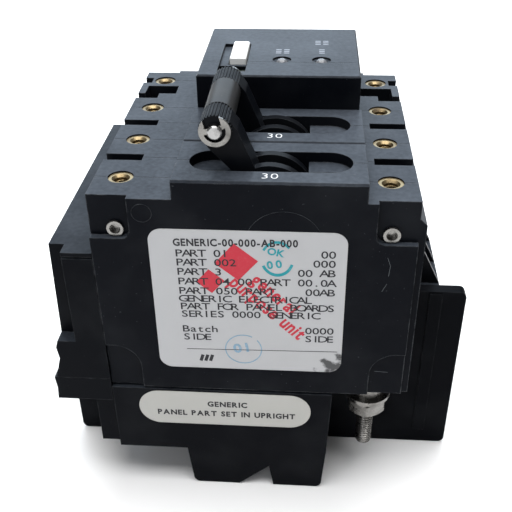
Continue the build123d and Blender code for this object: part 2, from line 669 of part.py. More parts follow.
def line_shroud():
    """Ribbed shroud behind the line barrier, against the case ribs."""
    x0 = HALF_WIDTH + RAIL_OUT + SEAM
    y0 = BARRIER_REAR + SEAM
    z_low = -CASE_DEPTH
    shroud = block(x0, x0 + SHROUD_THICK, y0, SHROUD_REAR, z_low, SHROUD_TOP)
    shroud += block(x0, SHROUD_OUT, y0, SHROUD_REAR, SHROUD_TOP - SHROUD_THICK, SHROUD_TOP)
    shroud += block(SHROUD_OUT - SHROUD_THICK, SHROUD_OUT, y0, SHROUD_REAR, z_low, SHROUD_TOP)
    gusset_top = SHROUD_TOP + GUSSET_RISE
    for y in GUSSET_Y:
        a = y - GUSSET_THICK / 2
        shroud += slab_y(
            [(x0, gusset_top), (x0 + SHROUD_THICK, gusset_top), (SHROUD_OUT, SHROUD_TOP),
             (x0, SHROUD_TOP - SHROUD_THICK / 2)],
            a, a + GUSSET_THICK,
        )
    return shroud


# ---- inserts, rivets, terminals --------------------------------------------------------

def mounting_inserts():
    """Eight threaded brass inserts."""
    solids = []
    for y in POLE_Y:
        for side in (-1, 1):
            x = side * INSERT_SPAN / 2
            low = -INSERT_SINK - INSERT_LENGTH
            ring = rod_z(x, y, INSERT_RADIUS - SEAM / 4, low, -INSERT_SINK)
            ring -= rod_z(x, y, INSERT_BORE, low - 1, 0)
            rim = ring.edges().filter_by(GeomType.CIRCLE).group_by(Axis.Z)[-1].sort_by(SortBy.RADIUS)[0]
            solids.append(chamfer(rim, INSERT_FLARE))
    return group(solids)


def case_rivets():
    """Two long rivets with hollow rolled ends that hold the stack together."""
    solids = []
    for side in (-1, 1):
        x = side * RIVET_X
        y_a = FRONT + CORNER_SINK
        y_b = REAR - CORNER_SINK
        body = rod_y(x, RIVET_Z, RIVET_RADIUS, y_a - RIVET_HEAD_THICK, y_b + RIVET_HEAD_THICK)
        body += rod_y(x, RIVET_Z, RIVET_HEAD, y_a - RIVET_HEAD_THICK, y_a)
        body += rod_y(x, RIVET_Z, RIVET_HEAD, y_b, y_b + RIVET_HEAD_THICK)
        face_a = y_a - RIVET_HEAD_THICK
        face_b = y_b + RIVET_HEAD_THICK
        body -= rod_y(x, RIVET_Z, RIVET_CUP, face_a - 1, face_a + RIVET_CUP_DEPTH)
        body -= rod_y(x, RIVET_Z, RIVET_CUP, face_b - RIVET_CUP_DEPTH, face_b + 1)
        solids.append(body)
    return group(solids)


def terminal_studs():
    """Four threaded terminal studs, with a collar below the case and a head inside it."""
    solids = []
    head_z = FLOOR + STRAP_THICK
    for y in POLE_Y:
        stud = rod_z(STUD_X, y, STUD_RADIUS, STUD_TIP, NUT_BASE)
        stud = chamfer(stud.edges().filter_by(GeomType.CIRCLE).sort_by(Axis.Z)[0], STUD_POINT)
        stud += rod_z(STUD_X, y, SHANK_RADIUS, NUT_BASE, head_z)
        stud += rod_z(STUD_X, y, COLLAR_RADIUS, COLLAR_BASE, -CASE_DEPTH)
        solids.append(stud + rod_z(STUD_X, y, STUD_RADIUS + STUD_HEAD, head_z, head_z + STUD_HEAD_THICK))
    return group(solids)


def washer_stack(radius, top, thick, split):
    """One kind of washer on all four studs."""
    solids = []
    for y in POLE_Y:
        ring = rod_z(STUD_X, y, radius, top - thick, top)
        ring -= rod_z(STUD_X, y, SHANK_RADIUS + FIT, top - thick - 1, top + 1)
        if split:
            cut = Box(radius, LOCK_SPLIT, thick * 3)
            ring -= Pos(STUD_X + radius * 0.8, y, top - thick / 2) * Rot(30, 0, 0) * cut
            ring = only_solid(ring)
        solids.append(ring)
    return group(solids)


def terminal_nuts():
    """Four hexagon nuts."""
    solids = []
    for y in POLE_Y:
        profile = RegularPolygon(NUT_FLATS / 2, 6, major_radius=False, rotation=30)
        nut = Pos(STUD_X, y, NUT_BASE) * extrude(profile, amount=NUT_THICK)
        cone = rod_z(STUD_X, y, NUT_FLATS / 2 + 0.8 * NUT_EDGE, NUT_BASE, NUT_TOP)
        cone = chamfer(cone.edges().filter_by(GeomType.CIRCLE).sort_by(Axis.Z)[0], NUT_EDGE)
        nut = (nut & cone) - rod_z(STUD_X, y, SHANK_RADIUS + FIT, NUT_BASE - 1, NUT_TOP + 1)
        solids.append(only_solid(nut))
    return group(solids)


# ---- handle ----------------------------------------------------------------------------

def along(a, b):
    """Point a out along the handle and b towards the line side, when off."""
    s = sin(radians(LEAN))
    c = cos(radians(LEAN))
    return (PIVOT_X - a * s + b * c, PIVOT_Z + a * c + b * s)


def knurl_cuts(y0, y1):
    """Shallow grooves round a handle head."""
    cuts = []
    for k in range(KNURL_COUNT):
        turn = radians(360 * k / KNURL_COUNT)
        x = BAR_X + HEAD_RADIUS * cos(turn)
        z = BAR_Z + HEAD_RADIUS * sin(turn)
        cuts.append(rod_y(x, z, KNURL_RADIUS, y0, y1))
    return cuts


def handle(index):
    """One pole handle: two hub discs, arm and knurled head."""
    mid = POLE_Y[index]
    flip = 1 if index == 0 else -1
    hub = rod_y(PIVOT_X, PIVOT_Z, HUB_RADIUS, mid - HUB_HALF, mid - HUB_GROOVE)
    hub += rod_y(PIVOT_X, PIVOT_Z, HUB_RADIUS, mid + HUB_GROOVE, mid + HUB_HALF)
    hub += rod_y(PIVOT_X, PIVOT_Z, HUB_CORE, mid - HUB_HALF, mid + HUB_HALF)
    hub -= rod_y(CRANK_X, CRANK_Z, LINK_PIN + RUN, mid - HUB_HALF - 1, mid + HUB_HALF + 1)
    arm_y = sorted((mid + flip * ARM_FRONT, mid + flip * ARM_REAR))
    shoulder = REACH - SHOULDER_DROP
    low = SHOULDER_LOW
    arm = slab_y(
        [along(0, -ARM_ROOT), along(low, -ARM_ROOT), along(shoulder, -ARM_TOP), along(REACH, -HEAD_RADIUS),
         along(REACH, HEAD_RADIUS), along(shoulder, ARM_TOP), along(low, ARM_ROOT), along(0, ARM_ROOT)],
        arm_y[0], arm_y[1],
    )
    head_y = sorted((mid + flip * HEAD_FRONT, mid + flip * HEAD_REAR))
    head = rod_y(BAR_X, BAR_Z, HEAD_RADIUS, head_y[0], head_y[1])
    for cut in knurl_cuts(head_y[0] - 1, head_y[1] + 1):
        head -= cut
    body = hub + arm + head
    body -= rod_y(BAR_X, BAR_Z, TIE_PIN + FIT, head_y[0] - 1, head_y[1] + 1)
    body -= rod_y(PIVOT_X, PIVOT_Z, PIVOT_PIN + RUN, mid - HUB_HALF - 1, mid + HUB_HALF + 1)
    return only_solid(body)


def tie_sleeve():
    """Plain sleeve between the two handle heads."""
    y0 = POLE_Y[0] + HEAD_REAR + SEAM
    y1 = POLE_Y[1] - HEAD_REAR - SEAM
    sleeve = rod_y(BAR_X, BAR_Z, HEAD_RADIUS - 0.1, y0, y1)
    return sleeve - rod_y(BAR_X, BAR_Z, TIE_PIN + FIT, y0 - 1, y1 + 1)


def tie_pin():
    """Steel pin through both handle heads."""
    pin = rod_y(BAR_X, BAR_Z, TIE_PIN, BAR_FRONT - TIE_PIN_PROUD, BAR_REAR + TIE_PIN_PROUD)
    return chamfer(pin.edges().filter_by(GeomType.CIRCLE), TIE_PIN_EDGE)


def pin_clips():
    """Retaining clips on both ends of the tie pin."""
    solids = []
    length = CLIP_RADIUS - TIE_PIN
    reach = TIE_PIN + 0.4 * length
    for y in (BAR_FRONT - CLIP_GAP - CLIP_THICK, BAR_REAR + CLIP_GAP):
        y1 = y + CLIP_THICK
        clip = rod_y(0, 0, CLIP_RADIUS, y, y1) - rod_y(0, 0, CLIP_RADIUS - CLIP_RIM, y - 1, y1 + 1)
        for turn in (165, 25):
            x = reach * cos(radians(turn))
            z = reach * sin(radians(turn))
            clip += Pos(x, (y + y1) / 2, z) * Rot(0, -turn, 0) * Box(length, CLIP_THICK, CLIP_LUG)
        clip -= rod_y(0, 0, TIE_PIN + RUN / 4, y - 1, y1 + 1)
        clip -= block(-CLIP_MOUTH, CLIP_MOUTH, y - 1, y1 + 1, CLIP_RIM, CLIP_RADIUS + 1)
        solids.append(Pos(BAR_X, 0, BAR_Z) * Rot(0, -CLIP_TURN, 0) * only_solid(clip))
    return group(solids)


def pins(x, z, radius, half):
    """The same pin in both switching poles."""
    return group(rod_y(x, z, radius, POLE_Y[k] - half, POLE_Y[k] + half) for k in (0, 1))


# ---- mechanism of one pole -------------------------------------------------------------

def toggle_link(mid):
    """Link from the handle hub to the contact arm, with a pin at each end."""
    run = degrees(atan2(CRANK_X - LEVER_X, CRANK_Z - LEVER_Z))
    length = hypot(CRANK_X - LEVER_X, CRANK_Z - LEVER_Z)
    centre = ((CRANK_X + LEVER_X) / 2, (CRANK_Z + LEVER_Z) / 2)
    link = Pos(centre[0], mid, centre[1]) * Rot(0, run, 0) * Box(LINK_WIDTH - 0.8, 2 * LINK_HALF, length)
    ends = ((CRANK_X, CRANK_Z, HUB_HALF - LINK_PIN_SHORT), (LEVER_X, LEVER_Z, ARM_HALF - LINK_PIN_SHORT))
    for x, z, half in ends:
        link += rod_y(x, z, LINK_WIDTH / 2, mid - LINK_HALF, mid + LINK_HALF)
        link += rod_y(x, z, LINK_PIN, mid - half, mid + half)
    return link


def swung(shape):
    """Turn a level contact arm piece up to its open rest place."""
    turn = Rot(0, -degrees(TILT), 0)
    return Pos(ARM_PIVOT_X, 0, ARM_PIVOT_Z) * turn * Pos(-ARM_PIVOT_X, 0, -ARM_PIVOT_Z) * shape


def contact_arm(mid):
    """Slotted copper contact arm."""
    x_tip = ARM_PIVOT_X + ARM_TIP + CONTACT_RADIUS
    x_pin = ARM_PIVOT_X + ARM_LEVER + LINK_SHIFT
    half = ARM_THICK / 2
    y0 = mid - ARM_HALF
    y1 = mid + ARM_HALF
    arm = block(ARM_PIVOT_X, x_tip, y0, y1, ARM_PIVOT_Z - half, ARM_PIVOT_Z + half)
    arm += rod_y(ARM_PIVOT_X, ARM_PIVOT_Z, ARM_PIN + 1.2, y0, y1)
    arm += rod_y(x_pin, ARM_PIVOT_Z, LINK_PIN + 1.5, y0, y1)
    arm -= rod_y(x_pin, ARM_PIVOT_Z, SLOT_REACH, mid - LINK_HALF - GAP, mid + LINK_HALF + GAP)
    arm -= rod_y(x_pin, ARM_PIVOT_Z, LINK_PIN + LINK_PLAY, y0 - 1, y1 + 1)
    arm -= rod_y(ARM_PIVOT_X, ARM_PIVOT_Z, ARM_PIN + RUN, y0 - 1, y1 + 1)
    return swung(only_solid(arm))


def moving_contact(mid):
    """Silver contact under the end of the arm."""
    low = ARM_PIVOT_Z - ARM_THICK / 2
    return swung(rod_z(ARM_PIVOT_X + ARM_TIP, mid, CONTACT_RADIUS, low - CONTACT_THICK, low))


def fixed_contact(mid):
    """Silver contact on top of the line strap."""
    return rod_z(CONTACT_X, mid, CONTACT_RADIUS, STRAP_TOP, STRAP_TOP + CONTACT_THICK)


def line_strap(mid):
    """Copper strap from the terminal stud up to the fixed contact."""
    x_out = HALF_WIDTH - WALL - GAP / 2
    y0 = mid - STRAP_HALF
    y1 = mid + STRAP_HALF
    strap = block(CONTACT_X - CONTACT_RADIUS - 1, x_out, y0, y1, STRAP_TOP - STRAP_THICK, STRAP_TOP)
    strap += block(x_out - STRAP_THICK, x_out, y0, y1, FLOOR, STRAP_TOP)
    strap += block(STUD_X - STRAP_END, x_out, y0, y1, FLOOR, FLOOR + STRAP_THICK)
    return strap - rod_z(STUD_X, mid, SHANK_RADIUS + FIT, FLOOR - 1, FLOOR + STRAP_THICK + 1)


def arc_plates():
    """Stacks of steel arc plates of both poles."""
    solids = []
    for k in (0, 1):
        for n in range(ARC_COUNT):
            z = ARC_TOP - n * ARC_PITCH
            solids.append(block(ARC_LOAD, ARC_LINE, POLE_Y[k] - ARC_HALF, POLE_Y[k] + ARC_HALF,
                                z - ARC_THICK, z))
    return group(solids)


def arc_holders():
    """Insulating cheeks that hold the arc plates."""
    solids = []
    low = ARC_TOP - ARC_COUNT * ARC_PITCH
    for k in (0, 1):
        for side in (-1, 1):
            a, b = sorted((POLE_Y[k] + side * ARC_HALF, POLE_Y[k] + side * (POLE_PITCH / 2 - WALL - SEAM)))
            solids.append(block(ARC_LOAD, ARC_LINE, a, b, low, ARC_TOP + 0.6))
    return group(solids)


def delay_tube(mid):
    """Sealed tube through the coil, with its pole cap."""
    top = COIL_TOP + TUBE_PROUD
    tube = rod_z(COIL_X, mid, TUBE_RADIUS, TUBE_LOW, top)
    tube -= rod_z(COIL_X, mid, TUBE_RADIUS - TUBE_WALL, TUBE_LOW + TUBE_WALL, top - TUBE_WALL)
    return tube + rod_z(COIL_X, mid, CAP_RADIUS, top, top + CAP_THICK)


def delay_core(mid):
    """Iron core that moves slowly up the delay tube on overload."""
    low = TUBE_LOW + TUBE_WALL
    return rod_z(COIL_X, mid, CORE_RADIUS, low, low + CORE_LENGTH)


def coil(mid):
    """Current coil round the delay tube."""
    ring = rod_z(COIL_X, mid, COIL_RADIUS, COIL_BASE, COIL_TOP)
    return ring - rod_z(COIL_X, mid, TUBE_RADIUS + FIT, COIL_BASE - 1, COIL_TOP + 1)


def magnet_frame(mid):
    """Steel frame under and beside the coil, with ears for the armature."""
    x_leg = FRAME_X + FRAME_THICK
    y0 = mid - FRAME_HALF
    y1 = mid + FRAME_HALF
    frame = block(COIL_X - COIL_RADIUS - 1, x_leg, y0, y1, FRAME_BASE, COIL_BASE)
    frame += block(FRAME_X, x_leg, y0, y1, FRAME_BASE, HINGE_Z - ARMATURE_THICK)
    for side in (-1, 1):
        a, b = sorted((mid + side * (ARMATURE_HALF + GAP), mid + side * FRAME_HALF))
        frame += block(HINGE_X - EAR_HALF, HINGE_X + EAR_HALF, a, b, HINGE_Z - 3.0, HINGE_Z + EAR_HALF)
    frame -= rod_z(COIL_X, mid, TUBE_RADIUS + FIT, FRAME_BASE - 1, COIL_BASE + 1)
    return frame - rod_y(HINGE_X, HINGE_Z, ARMATURE_PIN + RUN, y0 - 1, y1 + 1)


def armature(mid):
    """Hinged armature over the coil, with its pin and tail."""
    half = ARMATURE_THICK / 2
    plate = block(HINGE_X - ARMATURE_REACH, HINGE_X, mid - ARMATURE_HALF, mid + ARMATURE_HALF,
                  HINGE_Z - half, HINGE_Z + half)
    tail = block(HINGE_X - half, HINGE_X + half, mid - TAIL_HALF, mid + TAIL_HALF,
                 HINGE_Z, TRIP_Z - TAIL_SHORT)
    pin = rod_y(HINGE_X, HINGE_Z, ARMATURE_PIN, mid - FRAME_HALF, mid + FRAME_HALF)
    return plate + tail + pin


def trip_bar():
    """Common trip bar through both poles into the module."""
    bar = rod_y(TRIP_X, TRIP_Z, TRIP_RADIUS, FRONT + WALL + GAP, TRIP_END)
    x_tail = HINGE_X - ARMATURE_THICK / 2
    for mid in (POLE_Y[0], POLE_Y[1], SOLENOID_Y):
        bar += slab_y(
            [(TRIP_X - 0.9, TRIP_Z), (TRIP_X + 0.9, TRIP_Z), (x_tail - 0.75, TRIP_Z - TRIP_PADDLE - 0.6),
             (x_tail - 1.8, TRIP_Z - TRIP_PADDLE - 1.3)],
            mid - PADDLE_HALF, mid + PADDLE_HALF,
        )
    return bar


# ---- ground fault module ---------------------------------------------------------------

def test_button():
    """White push button with a short stem."""
    under = BLOCK_HEIGHT - BUTTON_SKIRT
    cap = block(BUTTON_LOAD, BUTTON_LINE, BUTTON_FRONT, BUTTON_REAR, under, BLOCK_HEIGHT + BUTTON_PROUD)
    cap = chamfer(cap.edges().group_by(Axis.Z)[-1], BUTTON_EDGE)
    x = (BUTTON_LOAD + BUTTON_LINE) / 2
    y = (BUTTON_FRONT + BUTTON_REAR) / 2
    return cap + rod_z(x, y, STEM_RADIUS, under - STEM_LENGTH, under)


def button_spring():
    """Return spring round the button stem."""
    x = (BUTTON_LOAD + BUTTON_LINE) / 2
    y = (BUTTON_FRONT + BUTTON_REAR) / 2
    low = BOARD_TOP + SPRING_WIRE + SEAM / 2
    high = BLOCK_HEIGHT - BUTTON_SKIRT - SPRING_WIRE - SEAM / 2
    path = Helix(pitch=(high - low) / SPRING_TURNS, height=high - low, radius=SPRING_RADIUS)
    profile = Plane(origin=path @ 0, z_dir=path % 0) * Circle(SPRING_WIRE)
    return Pos(x, y, low) * sweep(profile, path=path)


def indicator_board():
    """Small circuit board under the raised block."""
    inset = WALL + GAP
    return block(BLOCK_LOAD + inset, BLOCK_LINE - inset, SEAM / 2 + inset, REAR - inset,
                 BOARD_TOP - BOARD_THICK, BOARD_TOP)


def indicator_leds():
    """Two round indicator lamps with shallow domes."""
    solids = []
    rim = BLOCK_HEIGHT - LED_SUNK
    ball = (LED_RADIUS ** 2 + LED_DOME ** 2) / (2 * LED_DOME)
    for x in LED_X:
        dome = Pos(x, LED_Y, rim + LED_DOME - ball) * Sphere(ball)
        dome = dome & rod_z(x, LED_Y, LED_RADIUS, rim - 0.1, rim + LED_DOME + 1)
        solids.append(rod_z(x, LED_Y, LED_RADIUS, BOARD_TOP, rim) + dome)
    return group(solids)


def sensing_board():
    """Upright circuit board of the leakage sensing stage."""
    return block(SENSE_LOAD, SENSE_LOAD + SENSE_WIDTH, SENSE_Y, SENSE_Y + BOARD_THICK, SENSE_LOW, SENSE_TOP)


def board_parts():
    """Two chips, a relay block and a capacitor on the sensing board."""
    x = SENSE_LOAD
    y = SENSE_Y
    z = SENSE_TOP
    return group([
        block(x + 5.0, x + 15.0, y - 2.2, y, z - 9.0, z - 4.0),
        block(x + 21.0, x + 28.0, y - 2.0, y, z - 21.0, z - 16.0),
        block(x + 35.0, x + 47.0, y - 5.5, y, z - 15.0, z - 5.0),
        rod_y(x + 9.0, z - 20.0, 3.2, y - 7.0, y),
    ])


def current_transformer():
    """Ring core round both load conductors."""
    ring = rod_y(RING_X, CONDUCTOR_Z, RING_RADIUS, RING_REAR - RING_LENGTH, RING_REAR)
    return ring - rod_y(RING_X, CONDUCTOR_Z, RING_HOLE, RING_REAR - RING_LENGTH - 1, RING_REAR + 1)


def load_conductors():
    """Two round conductors from the coils, through the ring core, to the module."""
    solids = []
    radius = CONDUCTOR_RADIUS
    low = CONDUCTOR_Z
    for k, x in enumerate(CONDUCTOR_X):
        rod = rod_y(x, low, radius, POLE_Y[k], POLE_Y[k + 2])
        rod += rod_z(x, POLE_Y[k], radius, low, FRAME_BASE - SEAM / 4)
        rod += rod_z(x, POLE_Y[k + 2], radius, low, FLOOR - SEAM / 4)
        rod += Pos(x, POLE_Y[k], low) * Sphere(radius)
        rod += Pos(x, POLE_Y[k + 2], low) * Sphere(radius)
        solids.append(rod)
    return group(solids)


def load_straps():
    """Copper straps to the two load studs of the module."""
    solids = []
    for k in (2, 3):
        y = POLE_Y[k]
        strap = block(LOAD_STRAP_X, STUD_X + STRAP_END, y - STRAP_HALF, y + STRAP_HALF,
                      FLOOR, FLOOR + STRAP_THICK)
        solids.append(strap - rod_z(STUD_X, y, SHANK_RADIUS + FIT, FLOOR - 1, FLOOR + STRAP_THICK + 1))
    return group(solids)


def rod_x(x, radius, length):
    """Round bar along X on the solenoid axis."""
    return Pos(x, SOLENOID_Y, SOLENOID_Z) * Rot(0, 90, 0) * Cylinder(radius, length)


def solenoid_coil():
    """Coil of the module trip solenoid."""
    bore = rod_x(SOLENOID_X, PLUNGER_RADIUS + 2 * FIT, SOLENOID_LENGTH + 2)
    return rod_x(SOLENOID_X, SOLENOID_RADIUS, SOLENOID_LENGTH) - bore


def solenoid_plunger():
    """Plunger that pushes the trip bar finger."""
    return rod_x(SOLENOID_X - PLUNGER_SHIFT, PLUNGER_RADIUS, PLUNGER_LENGTH)


# ---- labels ----------------------------------------------------------------------------

def rating_label():
    """Silver label on the face of pole 1."""
    return round_slab_y(LABEL_LOAD, LABEL_LINE, -CASE_DEPTH + LABEL_RISE, LABEL_TOP, LABEL_ROUND,
                        FRONT - LABEL_THICK, FRONT)


def note_label():
    """Pill shaped label on the lower housing."""
    top = LOWER_TOP - PILL_TOP
    return round_slab_y(PILL_LOAD, PILL_LINE, top - PILL_HEIGHT, top, PILL_HEIGHT / 2 - 0.05,
                        FRONT - LABEL_THICK, FRONT)


def build_cases():
    """All moulded housings."""
    names = (("pole_1_front_shell", "pole_1_rear_shell"), ("pole_2_front_shell", "pole_2_rear_shell"))
    for k in (0, 1):
        for shape, name in zip(pole_case(k), names[k]):
            save(shape, name)
    for shape, name in zip(module_case(), ("module_front_shell", "module_middle_shell", "module_rear_cover")):
        save(shape, name)
    save(load_side_cover(), "load_side_cover")
    save(load_side_base(), "load_side_base")
    save(lower_housing(), "lower_housing")
    save(line_barrier(), "line_barrier")
    save(load_barrier(), "load_barrier")
    save(line_shroud(), "line_shroud")


def build_fasteners():
    """Inserts, rivets, studs, nuts and washers."""
    save(mounting_inserts(), "mounting_inserts")
    save(case_rivets(), "case_rivets")
    save(terminal_studs(), "terminal_studs")
    save(washer_stack(WASHER_RADIUS, COLLAR_BASE, WASHER_THICK, False), "terminal_flat_washers")
    save(washer_stack(LOCK_RADIUS, COLLAR_BASE - WASHER_THICK, LOCK_THICK, True), "terminal_lock_washers")
    save(terminal_nuts(), "terminal_nuts")


def build_handle():
    """Both handles and everything that turns with them."""
    save(handle(0), "pole_1_handle")
    save(handle(1), "pole_2_handle")
    save(tie_sleeve(), "handle_tie_sleeve")
    save(tie_pin(), "handle_tie_pin")
    save(pin_clips(), "handle_pin_clips")
    save(pins(PIVOT_X, PIVOT_Z, PIVOT_PIN, POLE_PITCH / 2 - WALL - SEAM), "handle_pivot_pins")
    save(pins(ARM_PIVOT_X, ARM_PIVOT_Z, ARM_PIN, POLE_PITCH / 2 - WALL - SEAM), "contact_arm_pins")


def build_mechanism():
    """Switching and tripping pieces of both poles."""
    for k, name in ((0, "pole_1_"), (1, "pole_2_")):
        mid = POLE_Y[k]
        save(toggle_link(mid), name + "toggle_link")
        save(contact_arm(mid), name + "contact_arm")
        save(moving_contact(mid), name + "moving_contact")
        save(delay_core(mid), name + "delay_core")
        save(armature(mid), name + "armature")
    both = POLE_Y[:2]
    save(group(fixed_contact(mid) for mid in both), "fixed_contacts")
    save(group(line_strap(mid) for mid in both), "line_straps")
    save(group(delay_tube(mid) for mid in both), "delay_tubes")
    save(group(coil(mid) for mid in both), "trip_coils")
    save(group(magnet_frame(mid) for mid in both), "magnet_frames")
    save(arc_plates(), "arc_plates")
    save(arc_holders(), "arc_plate_holders")
    save(trip_bar(), "trip_bar")


def build_module():
    """Ground fault module and labels."""
    save(test_button(), "test_button")
    save(button_spring(), "test_button_spring")
    save(indicator_board(), "indicator_board")
    save(indicator_leds(), "indicator_lamps")
    save(sensing_board(), "sensing_board")
    save(board_parts(), "sensing_board_parts")
    save(current_transformer(), "current_transformer")
    save(load_conductors(), "load_conductors")
    save(load_straps(), "load_straps")
    save(solenoid_coil(), "trip_solenoid_coil")
    save(solenoid_plunger(), "trip_solenoid_plunger")
    save(rating_label(), "rating_label")
    save(note_label(), "note_label")


os.makedirs("parts", exist_ok=True)
build_cases()
build_fasteners()
build_handle()
build_mechanism()
build_module()
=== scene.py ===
"""Looks of a two pole stud terminal circuit breaker with a ground fault module.

Metres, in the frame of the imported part. The origin is the centre of the insert pattern in the
plane of the mounting face, X runs from the load side to the line side, Y from pole 1 to the
module and Z out of the panel. Print and small marks are laid out in millimetres.
"""

import json
import logging
import math
from dataclasses import dataclass, field
from enum import Enum
from typing import Any, Mapping, Protocol, Sequence, Union

import bpy
from mathutils import Matrix, Vector


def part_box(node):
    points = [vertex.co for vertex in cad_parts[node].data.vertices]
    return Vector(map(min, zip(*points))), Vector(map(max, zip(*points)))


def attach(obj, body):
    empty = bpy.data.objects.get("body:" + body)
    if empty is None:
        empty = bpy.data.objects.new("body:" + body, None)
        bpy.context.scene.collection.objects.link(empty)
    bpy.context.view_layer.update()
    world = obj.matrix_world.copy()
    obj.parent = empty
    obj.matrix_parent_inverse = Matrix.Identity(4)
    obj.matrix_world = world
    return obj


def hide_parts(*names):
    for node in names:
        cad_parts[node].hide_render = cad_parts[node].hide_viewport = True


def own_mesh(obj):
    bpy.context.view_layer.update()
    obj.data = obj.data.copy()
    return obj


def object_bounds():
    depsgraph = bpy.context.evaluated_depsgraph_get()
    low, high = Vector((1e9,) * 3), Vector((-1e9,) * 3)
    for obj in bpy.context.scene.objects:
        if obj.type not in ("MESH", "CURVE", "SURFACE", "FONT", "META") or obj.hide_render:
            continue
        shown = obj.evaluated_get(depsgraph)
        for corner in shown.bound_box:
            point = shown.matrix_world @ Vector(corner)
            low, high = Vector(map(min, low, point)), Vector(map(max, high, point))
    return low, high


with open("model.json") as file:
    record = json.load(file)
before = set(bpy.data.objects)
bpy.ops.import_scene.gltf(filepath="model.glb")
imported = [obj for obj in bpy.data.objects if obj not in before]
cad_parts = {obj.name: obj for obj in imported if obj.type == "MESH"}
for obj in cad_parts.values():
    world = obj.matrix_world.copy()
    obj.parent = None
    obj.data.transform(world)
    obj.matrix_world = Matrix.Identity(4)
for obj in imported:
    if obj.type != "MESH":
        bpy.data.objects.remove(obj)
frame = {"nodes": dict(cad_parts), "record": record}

LOG = logging.getLogger("breaker")
MM = 0.001
CAD_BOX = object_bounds()

Colour = tuple[float, float, float]
Point = tuple[float, float]
Term = Union["Wire", float]


# ---- node trees --------------------------------------------------------------------------


@dataclass(frozen=True)
class Wire:
    """A socket that takes part in Python arithmetic.

    Args:
        bench: The tree that the socket belongs to.
        socket: The output socket itself.
    """

    bench: "Bench"
    socket: bpy.types.NodeSocket

    def math(self, operation: str, *terms: Term) -> "Wire":
        """Add one Math node.

        Args:
            operation: The Math node's operation.
            terms: What feeds its sockets, in order.

        Returns:
            The result of the node.
        """
        made = self.bench.node("ShaderNodeMath", {"operation": operation}, dict(enumerate(terms)))
        return Wire(self.bench, made.outputs[0])

    def __add__(self, other: Term) -> "Wire":
        """This value plus another."""
        return self.math("ADD", self, other)

    def __radd__(self, other: Term) -> "Wire":
        """Another value plus this one."""
        return self.math("ADD", other, self)

    def __sub__(self, other: Term) -> "Wire":
        """This value less another."""
        return self.math("SUBTRACT", self, other)

    def __rsub__(self, other: Term) -> "Wire":
        """Another value less this one."""
        return self.math("SUBTRACT", other, self)

    def __mul__(self, other: Term) -> "Wire":
        """This value times another."""
        return self.math("MULTIPLY", self, other)

    def __rmul__(self, other: Term) -> "Wire":
        """Another value times this one."""
        return self.math("MULTIPLY", other, self)

    def __truediv__(self, other: Term) -> "Wire":
        """This value over another."""
        return self.math("DIVIDE", self, other)

    def __rtruediv__(self, other: Term) -> "Wire":
        """Another value over this one."""
        return self.math("DIVIDE", other, self)

    def __abs__(self) -> "Wire":
        """The size of this value."""
        return self.math("ABSOLUTE", self)

    def lower(self, other: Term) -> "Wire":
        """The lower of this value and another."""
        return self.math("MINIMUM", self, other)

    def higher(self, other: Term) -> "Wire":
        """The higher of this value and another."""
        return self.math("MAXIMUM", self, other)

    def clamped(self) -> "Wire":
        """This value kept between 0 and 1."""
        return self.lower(1.0).higher(0.0)

    def above(self, level: float, width: float) -> "Wire":
        """A soft step.

        Args:
            level: Where the step starts.
            width: How far it takes to reach 1.

        Returns:
            0 below the level and 1 above the level plus the width.
        """
        return ((self - level) / width).clamped()


class Bench:
    """A node tree under construction."""

    def __init__(self, tree: bpy.types.NodeTree) -> None:
        """Take up a tree.

        Args:
            tree: The tree that nodes are added to.
        """
        self.tree = tree

    def node(self, kind: str, settings: Mapping[str, Any] | None = None,
             values: Mapping[int | str, Any] | None = None) -> bpy.types.Node:
        """Add one node.

        Args:
            kind: The node's type.
            settings: What is set on the node before its sockets are filled.
            values: Wires or plain values for its input sockets.

        Returns:
            The new node.
        """
        made = self.tree.nodes.new(kind)
        for key, setting in (settings or {}).items():
            setattr(made, key, setting)
        for key, value in (values or {}).items():
            if isinstance(value, Wire):
                self.tree.links.new(value.socket, made.inputs[key])
            else:
                made.inputs[key].default_value = value
        return made

    def wire(self, kind: str, settings: Mapping[str, Any] | None = None,
             values: Mapping[int | str, Any] | None = None, output: int | str = 0) -> Wire:
        """Add one node and take one of its outputs.

        Args:
            kind: The node's type.
            settings: What is set on the node before its sockets are filled.
            values: Wires or plain values for its input sockets.
            output: Which output is wanted.

        Returns:
            That output as a wire.
        """
        return Wire(self, self.node(kind, settings, values).outputs[output])


